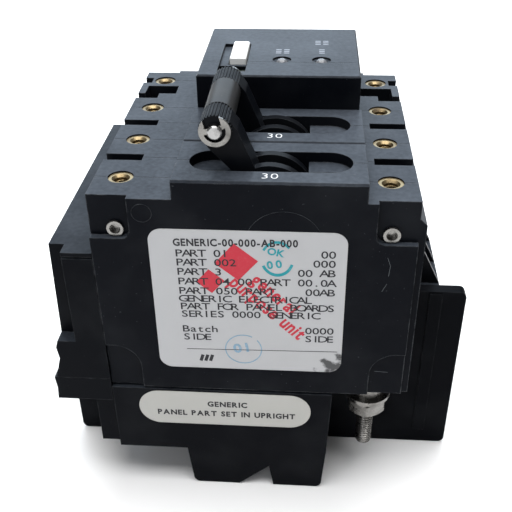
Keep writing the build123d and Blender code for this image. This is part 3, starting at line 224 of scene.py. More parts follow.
class MaterialBench(Bench):
    """A material under construction round one Principled shader."""

    def __init__(self, name: str, constants: Mapping[str, Any]) -> None:
        """Start a material.

        Args:
            name: The material's name.
            constants: Values set on the shader's own sockets.
        """
        self.material = bpy.data.materials.new(name)
        self.material.use_nodes = True
        super().__init__(self.material.node_tree)
        self.tree.nodes.clear()
        self.shader = self.node("ShaderNodeBsdfPrincipled", None, constants)
        self.node("ShaderNodeOutputMaterial", None, {"Surface": Wire(self, self.shader.outputs[0])})
        self.place = self.wire("ShaderNodeTexCoord", output="Object")

    def noise(self, scale: float, detail: float = 2.0, stretch: tuple[float, float, float] = (1, 1, 1),
              shift: float = 0.0) -> Wire:
        """Noise on the object's own coordinates.

        Args:
            scale: How many blobs there are to the metre.
            detail: How many finer layers are added.
            stretch: Extra scale along each axis.
            shift: Moves the pattern, so that two noises differ.

        Returns:
            The noise value, about 0.5 on average.
        """
        spot = self.wire("ShaderNodeMapping", None,
                         {"Vector": self.place, "Location": (shift,) * 3, "Scale": stretch})
        return self.wire("ShaderNodeTexNoise", None, {"Vector": spot, "Scale": scale, "Detail": detail})

    def coordinate(self, axis: str) -> Wire:
        """One of the object's own coordinates, in metres."""
        return self.wire("ShaderNodeSeparateXYZ", None, {"Vector": self.place}, axis)

    def tint(self, share: Wire, base: Wire | Colour, other: Colour) -> Wire:
        """Blend a colour in.

        Args:
            share: How much of the other colour shows.
            base: The colour where the share is 0.
            other: The colour where the share is 1.

        Returns:
            The blended colour.
        """
        plain = base if isinstance(base, Wire) else (*base, 1.0)
        return self.wire("ShaderNodeMix", {"data_type": "RGBA"}, {0: share, 6: plain, 7: (*other, 1.0)}, 2)

    def rounded(self, radius: float) -> Wire:
        """The normal with every edge rounded to a radius in metres."""
        return self.wire("ShaderNodeBevel", {"samples": 4}, {"Radius": radius})

    def edges(self, radius: float) -> Wire:
        """A mask of the strips beside edges.

        Args:
            radius: How far the strips reach, in metres.

        Returns:
            0 on flat ground and up to 1 at an edge.
        """
        flat = self.wire("ShaderNodeNewGeometry", output="Normal")
        turned = self.wire("ShaderNodeVectorMath", {"operation": "DOT_PRODUCT"},
                           {0: self.rounded(radius), 1: flat}, "Value")
        return ((1.0 - turned) * 5.0).clamped()

    def upward(self) -> Wire:
        """A mask of the faces that look up, from 0 on a wall to 1 on a level face."""
        turned = self.wire("ShaderNodeTexCoord", output="Normal")
        return self.wire("ShaderNodeSeparateXYZ", None, {"Vector": turned}, "Z").above(0.5, 0.4)

    def bump(self, height: Wire, distance: float, strength: float, normal: Wire) -> Wire:
        """Small relief over a normal.

        Args:
            height: The height, from 0 to 1.
            distance: What a height of 1 stands for, in metres.
            strength: How much of the relief shows.
            normal: The normal below it.

        Returns:
            The new normal.
        """
        return self.wire("ShaderNodeBump", None, {"Strength": strength, "Distance": distance,
                                                  "Height": height, "Normal": normal})

    def finish(self, **links: Wire) -> bpy.types.Material:
        """Feed the shader.

        Args:
            links: Wires named after the shader's sockets, with _ for a space.

        Returns:
            The finished material.
        """
        for key, wire in links.items():
            self.tree.links.new(wire.socket, self.shader.inputs[key.replace("_", " ")])
        return self.material


# ---- finishes ----------------------------------------------------------------------------


class Finish(Protocol):
    """Something that can be laid on a piece."""

    def material(self) -> bpy.types.Material:
        """Build the material."""


@dataclass(frozen=True)
class MouldedFinish:
    """Moulded plastic with rubbed edges, haze, dust and a painted bluish sheen on the faces that look up.

    Args:
        name: The material's name.
        colour: Colour of clean plastic.
        rubbed: Colour of rubbed edges and of dust.
        roughness: Mean roughness.
        specular: Strength of the clear reflection.
        wear: How rubbed the edges are.
        dusty: How strong the specks of dust are.
        film: How strong the lighter bluish tone is on the faces that look up, part dust and part painted
            sheen.
        cloud: How strong the broad hazy marks are.
        edge: Radius of the softened edges, in metres.
        coat: Weight of a thin gloss layer.
    """

    name: str
    colour: Colour
    rubbed: Colour = (0.16, 0.17, 0.18)
    roughness: float = 0.42
    specular: float = 0.035
    wear: float = 0.5
    dusty: float = 0.12
    film: float = 0.0
    cloud: float = 0.1
    edge: float = 0.00025
    coat: float = 0.0

    def material(self) -> bpy.types.Material:
        """Build the material."""
        bench = MaterialBench(self.name, {"Specular IOR Level": self.specular, "Coat Roughness": 0.3})
        haze = bench.noise(70.0, 4.0)
        grain = bench.noise(2600.0, 2.0)
        rub = bench.noise(420.0, 4.0, shift=1.7)
        dust = bench.noise(1500.0, 1.0, shift=5.1).above(0.74, 0.06)
        worn = (bench.edges(self.edge * 1.6) * rub.above(0.36, 0.3) * self.wear).clamped()
        mark = (worn + dust * self.dusty).clamped()
        colour = bench.tint(haze.above(0.45, 0.4) * self.cloud, self.colour,
                            tuple(0.5 * (a + b) for a, b in zip(self.colour, self.rubbed)))
        if self.film:
            # Faces that look up get a lighter bluish tone in patches: part settled dust, part painted sheen
            # standing in for the light from above and behind.
            fine = bench.noise(900.0, 3.0, shift=8.0)
            dust_and_sheen = bench.upward() * (fine * 0.6 + haze * 0.6 - 0.1).clamped() * self.film
            colour = bench.tint(dust_and_sheen, colour, (0.115, 0.135, 0.165))
        colour = bench.tint(mark, colour, self.rubbed)
        rough = (haze - 0.5) * (0.45 * self.cloud) + grain * 0.08 + mark * 0.18 + (self.roughness - 0.04)
        normal = bench.bump(grain, 0.00004, 0.35, bench.rounded(self.edge))
        links = {"Base_Color": colour, "Roughness": rough.clamped(), "Normal": normal}
        if self.coat:
            links["Coat_Weight"] = (1.0 - mark) * self.coat
        return bench.finish(**links)


@dataclass(frozen=True)
class MetalFinish:
    """Plated or bare metal.

    Args:
        name: The material's name.
        colour: Colour of clean metal.
        tarnish: Colour of dull spots.
        roughness: Mean roughness.
        dull: How much of it is dull.
        drawn: Scale along each axis of the drawing marks.
        edge: Radius of the softened edges, in metres.
    """

    name: str
    colour: Colour
    tarnish: Colour
    roughness: float = 0.28
    dull: float = 0.4
    drawn: tuple[float, float, float] = (1.0, 1.0, 1.0)
    edge: float = 0.00012

    def material(self) -> bpy.types.Material:
        """Build the material."""
        bench = MaterialBench(self.name, {})
        spots = bench.noise(300.0, 4.0).above(0.48, 0.25) * self.dull
        marks = bench.noise(1800.0, 2.0, self.drawn)
        normal = bench.bump(marks, 0.00002, 0.4, bench.rounded(self.edge))
        rough = marks * 0.14 + spots * 0.25 + (self.roughness - 0.07)
        return bench.finish(Base_Color=bench.tint(spots, self.colour, self.tarnish),
                            Metallic=1.0 - spots * 0.35, Roughness=rough.clamped(), Normal=normal)


@dataclass(frozen=True)
class PaperFinish:
    """Printed label stock, rubbed dark at one corner.

    Args:
        name: The material's name.
        colour: Colour of the stock.
        soiled: Colour of rubbed and soiled places.
        corner: X and Z of the rubbed corner, in millimetres.
        reach: How far the rubbing reaches from that corner, in millimetres.
        metal: How metallic the stock is.
    """

    name: str
    colour: Colour
    soiled: Colour
    corner: Point
    reach: float
    metal: float = 0.0

    def material(self) -> bpy.types.Material:
        """Build the material."""
        bench = MaterialBench(self.name, {"Specular IOR Level": 0.3})
        off_x = (bench.coordinate("X") - self.corner[0] * MM) / (self.reach * MM)
        off_z = (bench.coordinate("Z") - self.corner[1] * MM) / (self.reach * MM)
        near = 1.0 - (off_x * off_x + off_z * off_z)
        patch = (near * 0.5 + bench.noise(420.0, 5.0) * 1.3).above(0.95, 0.18) * near.above(0.0, 0.2)
        fibre = bench.noise(2200.0, 3.0)
        stain = bench.noise(110.0, 3.0, shift=4.0).above(0.5, 0.5) * 0.22
        colour = bench.tint(stain, self.colour, tuple(0.72 * c for c in self.colour))
        colour = bench.tint((patch * 0.9).clamped(), colour, self.soiled)
        normal = bench.bump(fibre, 0.00002, 0.3, bench.rounded(0.00006))
        return bench.finish(Base_Color=colour, Roughness=fibre * 0.12 + 0.42,
                            Metallic=(1.0 - patch) * self.metal, Normal=normal)


@dataclass(frozen=True)
class InkFinish:
    """Ink or paint of one colour that has worn a little thin.

    Args:
        name: The material's name.
        colour: Colour of the ink.
        thin: Colour where it has worn.
        worn: How much of it has worn.
    """

    name: str
    colour: Colour
    thin: Colour
    worn: float = 0.3

    def material(self) -> bpy.types.Material:
        """Build the material."""
        bench = MaterialBench(self.name, {"Specular IOR Level": 0.25})
        share = bench.noise(1600.0, 3.0).above(0.5, 0.3) * self.worn
        return bench.finish(Base_Color=bench.tint(share, self.colour, self.thin), Roughness=share * 0.2 + 0.5)


@dataclass(frozen=True)
class LampFinish:
    """Milky clear lens of an indicator lamp.

    Args:
        name: The material's name.
        colour: Colour of the lens.
    """

    name: str
    colour: Colour

    def material(self) -> bpy.types.Material:
        """Build the material."""
        bench = MaterialBench(self.name, {"Transmission Weight": 0.35, "IOR": 1.5})
        cloud = bench.noise(900.0, 2.0)
        return bench.finish(Base_Color=bench.tint(cloud * 0.2, self.colour, (0.35, 0.36, 0.38)),
                            Roughness=cloud * 0.08 + 0.06)


class Ink(Enum):
    """Inks of the printed marks."""

    BLACK = InkFinish("black_ink", (0.018, 0.018, 0.022), (0.12, 0.12, 0.12))
    RED = InkFinish("red_ink", (0.50, 0.025, 0.045), (0.42, 0.12, 0.12), 0.2)
    TEAL = InkFinish("teal_stamp_ink", (0.01, 0.26, 0.30), (0.15, 0.38, 0.42), 0.6)
    BLUE = InkFinish("blue_stamp_ink", (0.20, 0.33, 0.44), (0.36, 0.42, 0.47), 0.8)
    WHITE = InkFinish("white_paint", (0.80, 0.82, 0.84), (0.55, 0.57, 0.60), 0.2)
    FAINT = InkFinish("faint_white_paint", (0.22, 0.24, 0.28), (0.12, 0.13, 0.15), 0.7)
    SCRATCH = InkFinish("bare_scratch", (0.10, 0.11, 0.12), (0.05, 0.055, 0.06), 0.7)


BLACK_CASE = (0.0034, 0.0042, 0.0064)
BARRIER = MouldedFinish("barrier_black", (0.0026, 0.0030, 0.0042), specular=0.02, dusty=0.04, wear=0.12)
# The film values lay dust and a painted bluish sheen on the faces that look up.
SLOT_FINISHES: dict[str, Finish] = {
    "case_black": MouldedFinish("case_black", BLACK_CASE, roughness=0.3, wear=0.35, film=0.6),
    "cover_black": MouldedFinish("cover_black", (0.0030, 0.0036, 0.0052), roughness=0.34, specular=0.03,
                                 dusty=0.05, wear=0.25, film=0.35),
    "handle_black": MouldedFinish("handle_black", (0.0034, 0.0040, 0.0056), roughness=0.3, wear=0.4,
                                  dusty=0.08, edge=0.00012, coat=0.02),
    "sleeve_grey": MouldedFinish("sleeve_grey", (0.018, 0.018, 0.018), (0.15, 0.15, 0.14),
                                 roughness=0.36, specular=0.08, wear=0.7, dusty=0.6, cloud=0.6, edge=0.00015),
    "brass": MetalFinish("brass", (0.27, 0.205, 0.112), (0.075, 0.052, 0.028), 0.34, 0.9),
    "nickel": MetalFinish("nickel", (0.23, 0.222, 0.21), (0.075, 0.072, 0.066), 0.26, 0.6),
    "steel": MetalFinish("steel", (0.36, 0.355, 0.35), (0.14, 0.135, 0.13), 0.24, 0.5),
    "copper": MetalFinish("copper", (0.72, 0.36, 0.22), (0.30, 0.13, 0.08)),
    "silver": MetalFinish("silver", (0.80, 0.79, 0.77), (0.35, 0.34, 0.32), 0.22, 0.25),
    "magnet_steel": MetalFinish("magnet_steel", (0.42, 0.42, 0.40), (0.20, 0.19, 0.17), 0.34),
    "white_plastic": MouldedFinish("white_plastic", (0.84, 0.85, 0.84), (0.62, 0.61, 0.58),
                                   roughness=0.32, specular=0.5),
    "lamp_clear": LampFinish("lamp_clear", (0.20, 0.21, 0.23)),
    "board_green": MouldedFinish("board_green", (0.02, 0.11, 0.05), (0.12, 0.26, 0.15), 0.35),
    "chip_black": MouldedFinish("chip_black", (0.015, 0.015, 0.016)),
    "core_blue": MouldedFinish("core_blue", (0.03, 0.08, 0.24), (0.12, 0.18, 0.30), 0.3),
    "fibre_board": MouldedFinish("fibre_board", (0.28, 0.18, 0.10), (0.40, 0.30, 0.2), 0.6),
    "trip_white": MouldedFinish("trip_white", (0.62, 0.61, 0.56), (0.45, 0.44, 0.40), 0.4),
    "label_silver": PaperFinish("label_silver", (0.43, 0.432, 0.44), (0.02, 0.02, 0.022),
                                (19.0, -43.5), 6.5, 0.1),
    "label_cream": PaperFinish("label_cream", (0.44, 0.435, 0.41), (0.16, 0.15, 0.13),
                               (13.4, -62.6), 1.2),
}
NODE_FINISHES: dict[str, Finish] = {
    "pole_1_front_shell": MouldedFinish("case_black_rubbed", BLACK_CASE, roughness=0.3, dusty=0.2, wear=0.6,
                                        film=0.6),
    "line_barrier": BARRIER,
    "load_barrier": BARRIER,
}


def put(name: str, data: bpy.types.ID) -> bpy.types.Object:
    """A new object for some data, linked into the scene."""
    made = bpy.data.objects.new(name, data)
    bpy.context.scene.collection.objects.link(made)
    return made


class FinishRack:
    """Hands out one material for each finish."""

    def __init__(self) -> None:
        """Start with an empty rack."""
        self.made: dict[str, bpy.types.Material] = {}

    def take(self, finish: Finish) -> bpy.types.Material:
        """The material of a finish, built the first time it is asked for."""
        if finish.name not in self.made:
            self.made[finish.name] = finish.material()
        return self.made[finish.name]

    def dress(self, piece: bpy.types.Object, finish: Finish) -> None:
        """Give a piece one finish all over."""
        piece.data.materials.clear()
        piece.data.materials.append(self.take(finish))


RACK = FinishRack()


def settle(piece: bpy.types.Object, body: str) -> bpy.types.Object:
    """Put a finished piece on its body and report it.

    Args:
        piece: The piece, with its place in its mesh.
        body: The body it rides on.

    Returns:
        The same piece.
    """
    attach(piece, body)
    piece.data.calc_loop_triangles()
    LOG.info("%s rides on %s, %d triangles", piece.name, body, len(piece.data.loop_triangles))
    return piece


# ---- grown geometry ----------------------------------------------------------------------


class GrowthBench(Bench):
    """A geometry tree with named inputs that ends as one dressed mesh."""

    def __init__(self, name: str) -> None:
        """Start a tree.

        Args:
            name: The name of the tree.
        """
        super().__init__(bpy.data.node_groups.new(name, "GeometryNodeTree"))
        self.tree.interface.new_socket("Geometry", in_out="OUTPUT", socket_type="NodeSocketGeometry")
        self.sizes: dict[str, float | int] = {}
        self.entry = self.node("NodeGroupInput")

    def size(self, name: str, value: float | int) -> Wire:
        """Add a named input.

        Args:
            name: The name of the size.
            value: What it is set to, in metres, or a whole number for a count.

        Returns:
            The size as a wire.
        """
        kind = "NodeSocketInt" if isinstance(value, int) else "NodeSocketFloat"
        self.tree.interface.new_socket(name, in_out="INPUT", socket_type=kind)
        self.sizes[name] = value
        return Wire(self, self.entry.outputs[name])

    def vector(self, x: Term = 0.0, y: Term = 0.0, z: Term = 0.0) -> Wire:
        """A vector from three parts."""
        return self.wire("ShaderNodeCombineXYZ", None, {"X": x, "Y": y, "Z": z})

    def moved(self, geometry: Wire, offset: Wire) -> Wire:
        """Geometry shifted by a vector."""
        return self.wire("GeometryNodeSetPosition", None, {"Geometry": geometry, "Offset": offset})

    def joined(self, *parts: Wire) -> Wire:
        """Several geometries as one."""
        node = self.node("GeometryNodeJoinGeometry")
        for part in parts:
            self.tree.links.new(part.socket, node.inputs[0])
        return Wire(self, node.outputs[0])

    def placed(self, shape: Wire, spots: Wire) -> Wire:
        """One shape on every point of another geometry."""
        return self.wire("GeometryNodeInstanceOnPoints", None, {"Points": spots, "Instance": shape})

    def row(self, count: Wire, start: Wire, step: Wire) -> Wire:
        """A row of points.

        Args:
            count: How many there are.
            start: Where the first one is.
            step: From one to the next.

        Returns:
            The points.
        """
        return self.wire("GeometryNodeMeshLine", {"mode": "OFFSET", "count_mode": "TOTAL"},
                         {"Count": count, "Start Location": start, "Offset": step})

    def disc(self, sides: int, radius: Wire, thick: float, middle: Wire) -> Wire:
        """A round disc on the Z axis.

        Args:
            sides: Corners round it.
            radius: Its radius.
            thick: Its thickness.
            middle: Height of its middle.

        Returns:
            The disc.
        """
        made = self.wire("GeometryNodeMeshCylinder", {"fill_type": "NGON"},
                         {"Vertices": sides, "Radius": radius, "Depth": thick})
        return self.moved(made, self.vector(z=middle))

    def spiral(self, resolution: int, turns: float, radius: Wire | float, height: Wire) -> Wire:
        """A curve that winds round the Z axis."""
        return self.wire("GeometryNodeCurveSpiral", None, {
            "Resolution": resolution, "Rotations": turns, "Start Radius": radius, "End Radius": radius,
            "Height": height})

    def tube(self, path: Wire, radius: Wire, sides: int) -> Wire:
        """A closed tube along a curve."""
        ring = self.wire("GeometryNodeCurvePrimitiveCircle", {"mode": "RADIUS"},
                         {"Resolution": sides, "Radius": radius})
        return self.wire("GeometryNodeCurveToMesh", None,
                         {"Curve": path, "Profile Curve": ring, "Fill Caps": True})

    def grow(self, name: str, geometry: Wire, finish: Finish) -> bpy.types.Object:
        """Close the tree and turn its result into a plain mesh.

        Args:
            name: The name of the piece.
            geometry: What the tree makes.
            finish: The finish that the tree sets.

        Returns:
            The piece, with no modifier on it.
        """
        real = self.wire("GeometryNodeRealizeInstances", None, {"Geometry": geometry})
        dressed = self.wire("GeometryNodeSetMaterial", None,
                            {"Geometry": real, "Material": RACK.take(finish)})
        self.node("NodeGroupOutput", None, {"Geometry": dressed})
        carrier = put(name + "_carrier", bpy.data.meshes.new(name + "_carrier"))
        modifier = carrier.modifiers.new("growth", "NODES")
        modifier.node_group = self.tree
        for item in self.tree.interface.items_tree:
            if item.in_out == "INPUT":
                modifier[item.identifier] = self.sizes[item.name]
        ready = carrier.evaluated_get(bpy.context.evaluated_depsgraph_get())
        mesh = bpy.data.meshes.new_from_object(ready)
        carrier.modifiers.clear()
        bpy.data.objects.remove(carrier)
        mesh.name = name
        return put(name, mesh)


@dataclass
class ThreadedStuds:
    """The four terminal studs with a real screw thread.

    Args:
        pitch: Travel of the thread in one turn.
        depth: How deep the thread is cut.
        sides: Corners round a stud.
        steps: Rings of points to one turn of the thread.
        radius: Radius of the thread.
        head_radius: Radius of the head inside the case.
        head_thick: How thick the head is.
        collar_low: Height of the underside of the collar over the tip.
        collar_high: Height of the upper side of the collar over the tip.
        tip: Height of the tapered tip.
        count: How many studs there are.
    """

    pitch: float = 0.794 * MM
    depth: float = 0.42 * MM
    sides: int = 36
    steps: int = 6
    radius: float = 2.08 * MM
    head_radius: float = 3.08 * MM
    head_thick: float = 1.6 * MM
    collar_low: float = 17.9 * MM
    collar_high: float = 24.4 * MM
    tip: float = 0.5 * MM
    count: int = 4

    def build(self) -> bpy.types.Object:
        """Build, dress and settle the studs."""
        low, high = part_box("terminal_studs")
        outer = (high.x - low.x) / 2
        length = high.z - low.z - self.head_thick
        step = (high.y - low.y - 2 * outer) / (self.count - 1)
        bench = GrowthBench("stud_thread")
        rad = bench.size("Radius", self.radius)
        pitch = bench.size("Pitch", self.pitch)
        depth = bench.size("Depth", self.depth)
        run = bench.size("Length", length)
        tip = bench.size("Tip", self.tip)
        rod = bench.wire("GeometryNodeMeshCylinder", {"fill_type": "NGON"}, {
            "Vertices": self.sides, "Side Segments": int(self.steps * length / self.pitch),
            "Radius": rad, "Depth": run})
        place = bench.wire("GeometryNodeInputPosition")
        parts = bench.node("ShaderNodeSeparateXYZ", None, {"Vector": place})
        x, y, z = (Wire(bench, parts.outputs[k]) for k in range(3))
        turns = z / pitch - x.math("ARCTAN2", y, x) / math.tau
        tooth = abs(turns.math("FRACT", turns) * 2.0 - 1.0)
        cut = (1.0 - ((tooth - 0.12) * 1.5).clamped()) * depth
        taper = (tip - (z + run * 0.5)).higher(0.0)
        share = 1.0 - cut.higher(taper) / rad
        there = bench.vector(x * share, y * share, z)
        thread = bench.wire("GeometryNodeSetPosition", None, {"Geometry": rod, "Position": there})
        head = bench.disc(self.sides, bench.size("Head radius", self.head_radius), self.head_thick,
                          run * 0.5 + self.head_thick / 2)
        thick = self.collar_high - self.collar_low
        collar = bench.disc(self.sides, bench.size("Collar radius", outer), thick,
                            (self.collar_high + self.collar_low) / 2 - run * 0.5)
        spots = bench.row(bench.size("Count", self.count),
                          bench.vector(low.x + outer, low.y + outer, low.z + length / 2),
                          bench.vector(y=step))
        piece = bench.grow("threaded_studs", bench.placed(bench.joined(thread, head, collar), spots),
                           SLOT_FINISHES["nickel"])
        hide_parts("terminal_studs")
        return settle(piece, "housing")


@dataclass
class InsertThreads:
    """The screw thread inside each brass insert.

    Args:
        bore: Radius of the smooth bore.
        ridge: Radius of the round ridge that stands for the thread.
        turns: Turns of thread.
        pitch: Travel in one turn.
        across: Distance between the two rows.
        along: Distance between neighbours in a row.
        top: Height where the thread starts.
        count: How many inserts there are in a row.
    """

    bore: float = 1.42 * MM
    ridge: float = 0.17 * MM
    turns: float = 4.0
    pitch: float = 0.794 * MM
    across: float = 57.15 * MM
    along: float = 19.05 * MM
    top: float = -1.4 * MM
    count: int = 4

    def build(self) -> bpy.types.Object:
        """Build, dress and settle the threads."""
        bench = GrowthBench("insert_thread")
        path = bench.spiral(20, self.turns, bench.size("Bore", self.bore),
                            bench.size("Rise", self.turns * self.pitch))
        ridge = bench.tube(path, bench.size("Ridge", self.ridge), 4)
        rows = []
        for side in (-0.5, 0.5):
            start = bench.vector(side * self.across, -1.5 * self.along, self.top - self.turns * self.pitch)
            rows.append(bench.row(bench.size(f"Count {len(rows) + 1}", self.count), start,
                                  bench.vector(y=self.along)))
        piece = bench.grow("insert_threads", bench.placed(ridge, bench.joined(*rows)),
                           SLOT_FINISHES["brass"])
        return settle(piece, "housing")


@dataclass
class CoilWindings:
    """The heavy wire wound round both delay tubes.

    Args:
        wire: Radius of the wire.
        gap: Free height between two turns.
        layers: How many layers of wire there are.
    """

    wire: float = 0.85 * MM
    gap: float = 0.06 * MM
    layers: int = 2

    def build(self) -> bpy.types.Object:
        """Build, dress and settle the windings."""
        low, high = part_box("trip_coils")
        outer = (high.x - low.x) / 2
        bench = GrowthBench("coil_winding")
        wire = bench.size("Wire", self.wire)
        step = 2 * self.wire + self.gap
        turns = math.floor((high.z - low.z - 2 * self.wire) / step)
        layers = []
        for layer in range(self.layers):
            radius = outer - self.wire - layer * 1.9 * self.wire
            path = bench.spiral(28, float(turns), radius, bench.size(f"Height {layer + 1}", turns * step))
            layers.append(bench.tube(path, wire, 8))
        spots = bench.row(bench.size("Count", 2),
                          bench.vector(low.x + outer, low.y + outer, low.z + self.wire),
                          bench.vector(y=high.y - low.y - 2 * outer))
        piece = bench.grow("coil_windings", bench.placed(bench.joined(*layers), spots),
                           SLOT_FINISHES["copper"])
        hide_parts("trip_coils")
        return settle(piece, "housing")


@dataclass
class ReturnSpring:
    """The spring under the test button.

    Args:
        wire: Radius of the wire.
        turns: Turns of the spring.
        keep: Share of its length that is left with the button down; not used.
    """

    wire: float = 0.22 * MM
    turns: float = 4.0
    keep: float = 0.74

    def build(self) -> None:
        """Build, dress and settle the spring."""
        low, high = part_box("test_button_spring")
        outer = (high.x - low.x) / 2 - self.wire
        bench = GrowthBench("return_spring")
        path = bench.spiral(24, self.turns, bench.size("Radius", outer),
                            bench.size("Height", high.z - low.z - 2 * self.wire))
        coil = bench.tube(path, bench.size("Wire", self.wire), 8)
        middle = (low + high) / 2
        coil = bench.moved(coil, bench.vector(middle.x, middle.y, low.z + self.wire))
        piece = bench.grow("return_spring", coil, SLOT_FINISHES["steel"])
        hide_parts("test_button_spring")
        settle(piece, "housing")
        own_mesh(piece)


@dataclass
class MouldRings:
    """Faint round tool marks on the front face.

    Args:
        rings: Centre X, centre Z and radius of each mark, in millimetres.
        ridge: Radius of the raised line.
    """

    rings: Sequence[tuple[float, float, float]] = ((-22.6, -3.3, 2.1), (6.7, -10.4, 8.2))
    ridge: float = 0.07 * MM

    def build(self) -> bpy.types.Object:
        """Build, dress and settle the marks."""
        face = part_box("pole_1_front_shell")[0].y
        bench = GrowthBench("mould_ring")
        ridge = bench.size("Ridge", self.ridge)
        made = []
        for number, (x, z, radius) in enumerate(self.rings, 1):
            path = bench.wire("GeometryNodeCurvePrimitiveCircle", {"mode": "RADIUS"}, {
                "Resolution": 64, "Radius": bench.size(f"Radius {number}", radius * MM)})
            ring = bench.tube(path, ridge, 6)
            made.append(bench.wire("GeometryNodeTransform", None, {
                "Geometry": ring, "Translation": (x * MM, face + 0.4 * self.ridge, z * MM),
                "Rotation": (math.pi / 2, 0.0, 0.0)}))
        piece = bench.grow("mould_marks", bench.joined(*made), NODE_FINISHES["pole_1_front_shell"])
        return settle(piece, "housing")


# ---- print -------------------------------------------------------------------------------


GLYPH_THICK = 0.02      # thickness of a cast character, a share of the font's size
BLANK_WIDTH = 0.4       # width of a space, a share of the height of a capital
PRINT_SINK = 0.002      # how deep every print sits in its face, in millimetres


@dataclass(frozen=True)
class Glyph:
    """One character as a thin closed solid, one unit high.

    Args:
        points: Corners.
        faces: Faces as indices of corners.
        width: Width of the character.
    """

    points: tuple[tuple[float, float, float], ...]
    faces: tuple[tuple[int, ...], ...]
    width: float


class GlyphPress:
    """Turns characters into thin solids, each shape once."""

    def __init__(self, weight: float) -> None:
        """Set up the press.

        Args:
            weight: How much thicker the strokes are than the plain letter.
        """
        self.weight = weight
        self.cast: dict[str, Glyph] = {}
        self.cap = 1.0
        self.cap = max(point[1] for point in self.glyph("H").points)
        self.cast.clear()

    def glyph(self, character: str) -> Glyph:
        """Cast one character.

        Args:
            character: The character.

        Returns:
            Its solid, scaled so that a capital is one unit high.
        """
        if character == " ":
            return Glyph((), (), BLANK_WIDTH)
        if character not in self.cast:
            curve = bpy.data.curves.new("glyph", "FONT")
            curve.body = character
            curve.resolution_u = 3
            curve.extrude = GLYPH_THICK / 2
            curve.offset = self.weight
            holder = put("glyph", curve)
            ready = holder.evaluated_get(bpy.context.evaluated_depsgraph_get())
            mesh = bpy.data.meshes.new_from_object(ready)
            left = min(v.co.x for v in mesh.vertices)
            right = max(v.co.x for v in mesh.vertices)
            points = tuple(((v.co.x - left) / self.cap, v.co.y / self.cap, v.co.z) for v in mesh.vertices)
            faces = tuple(tuple(p.vertices) for p in mesh.polygons)
            self.cast[character] = Glyph(points, faces, (right - left) / self.cap)
            bpy.data.objects.remove(holder)
            bpy.data.meshes.remove(mesh)
            bpy.data.curves.remove(curve)
        return self.cast[character]


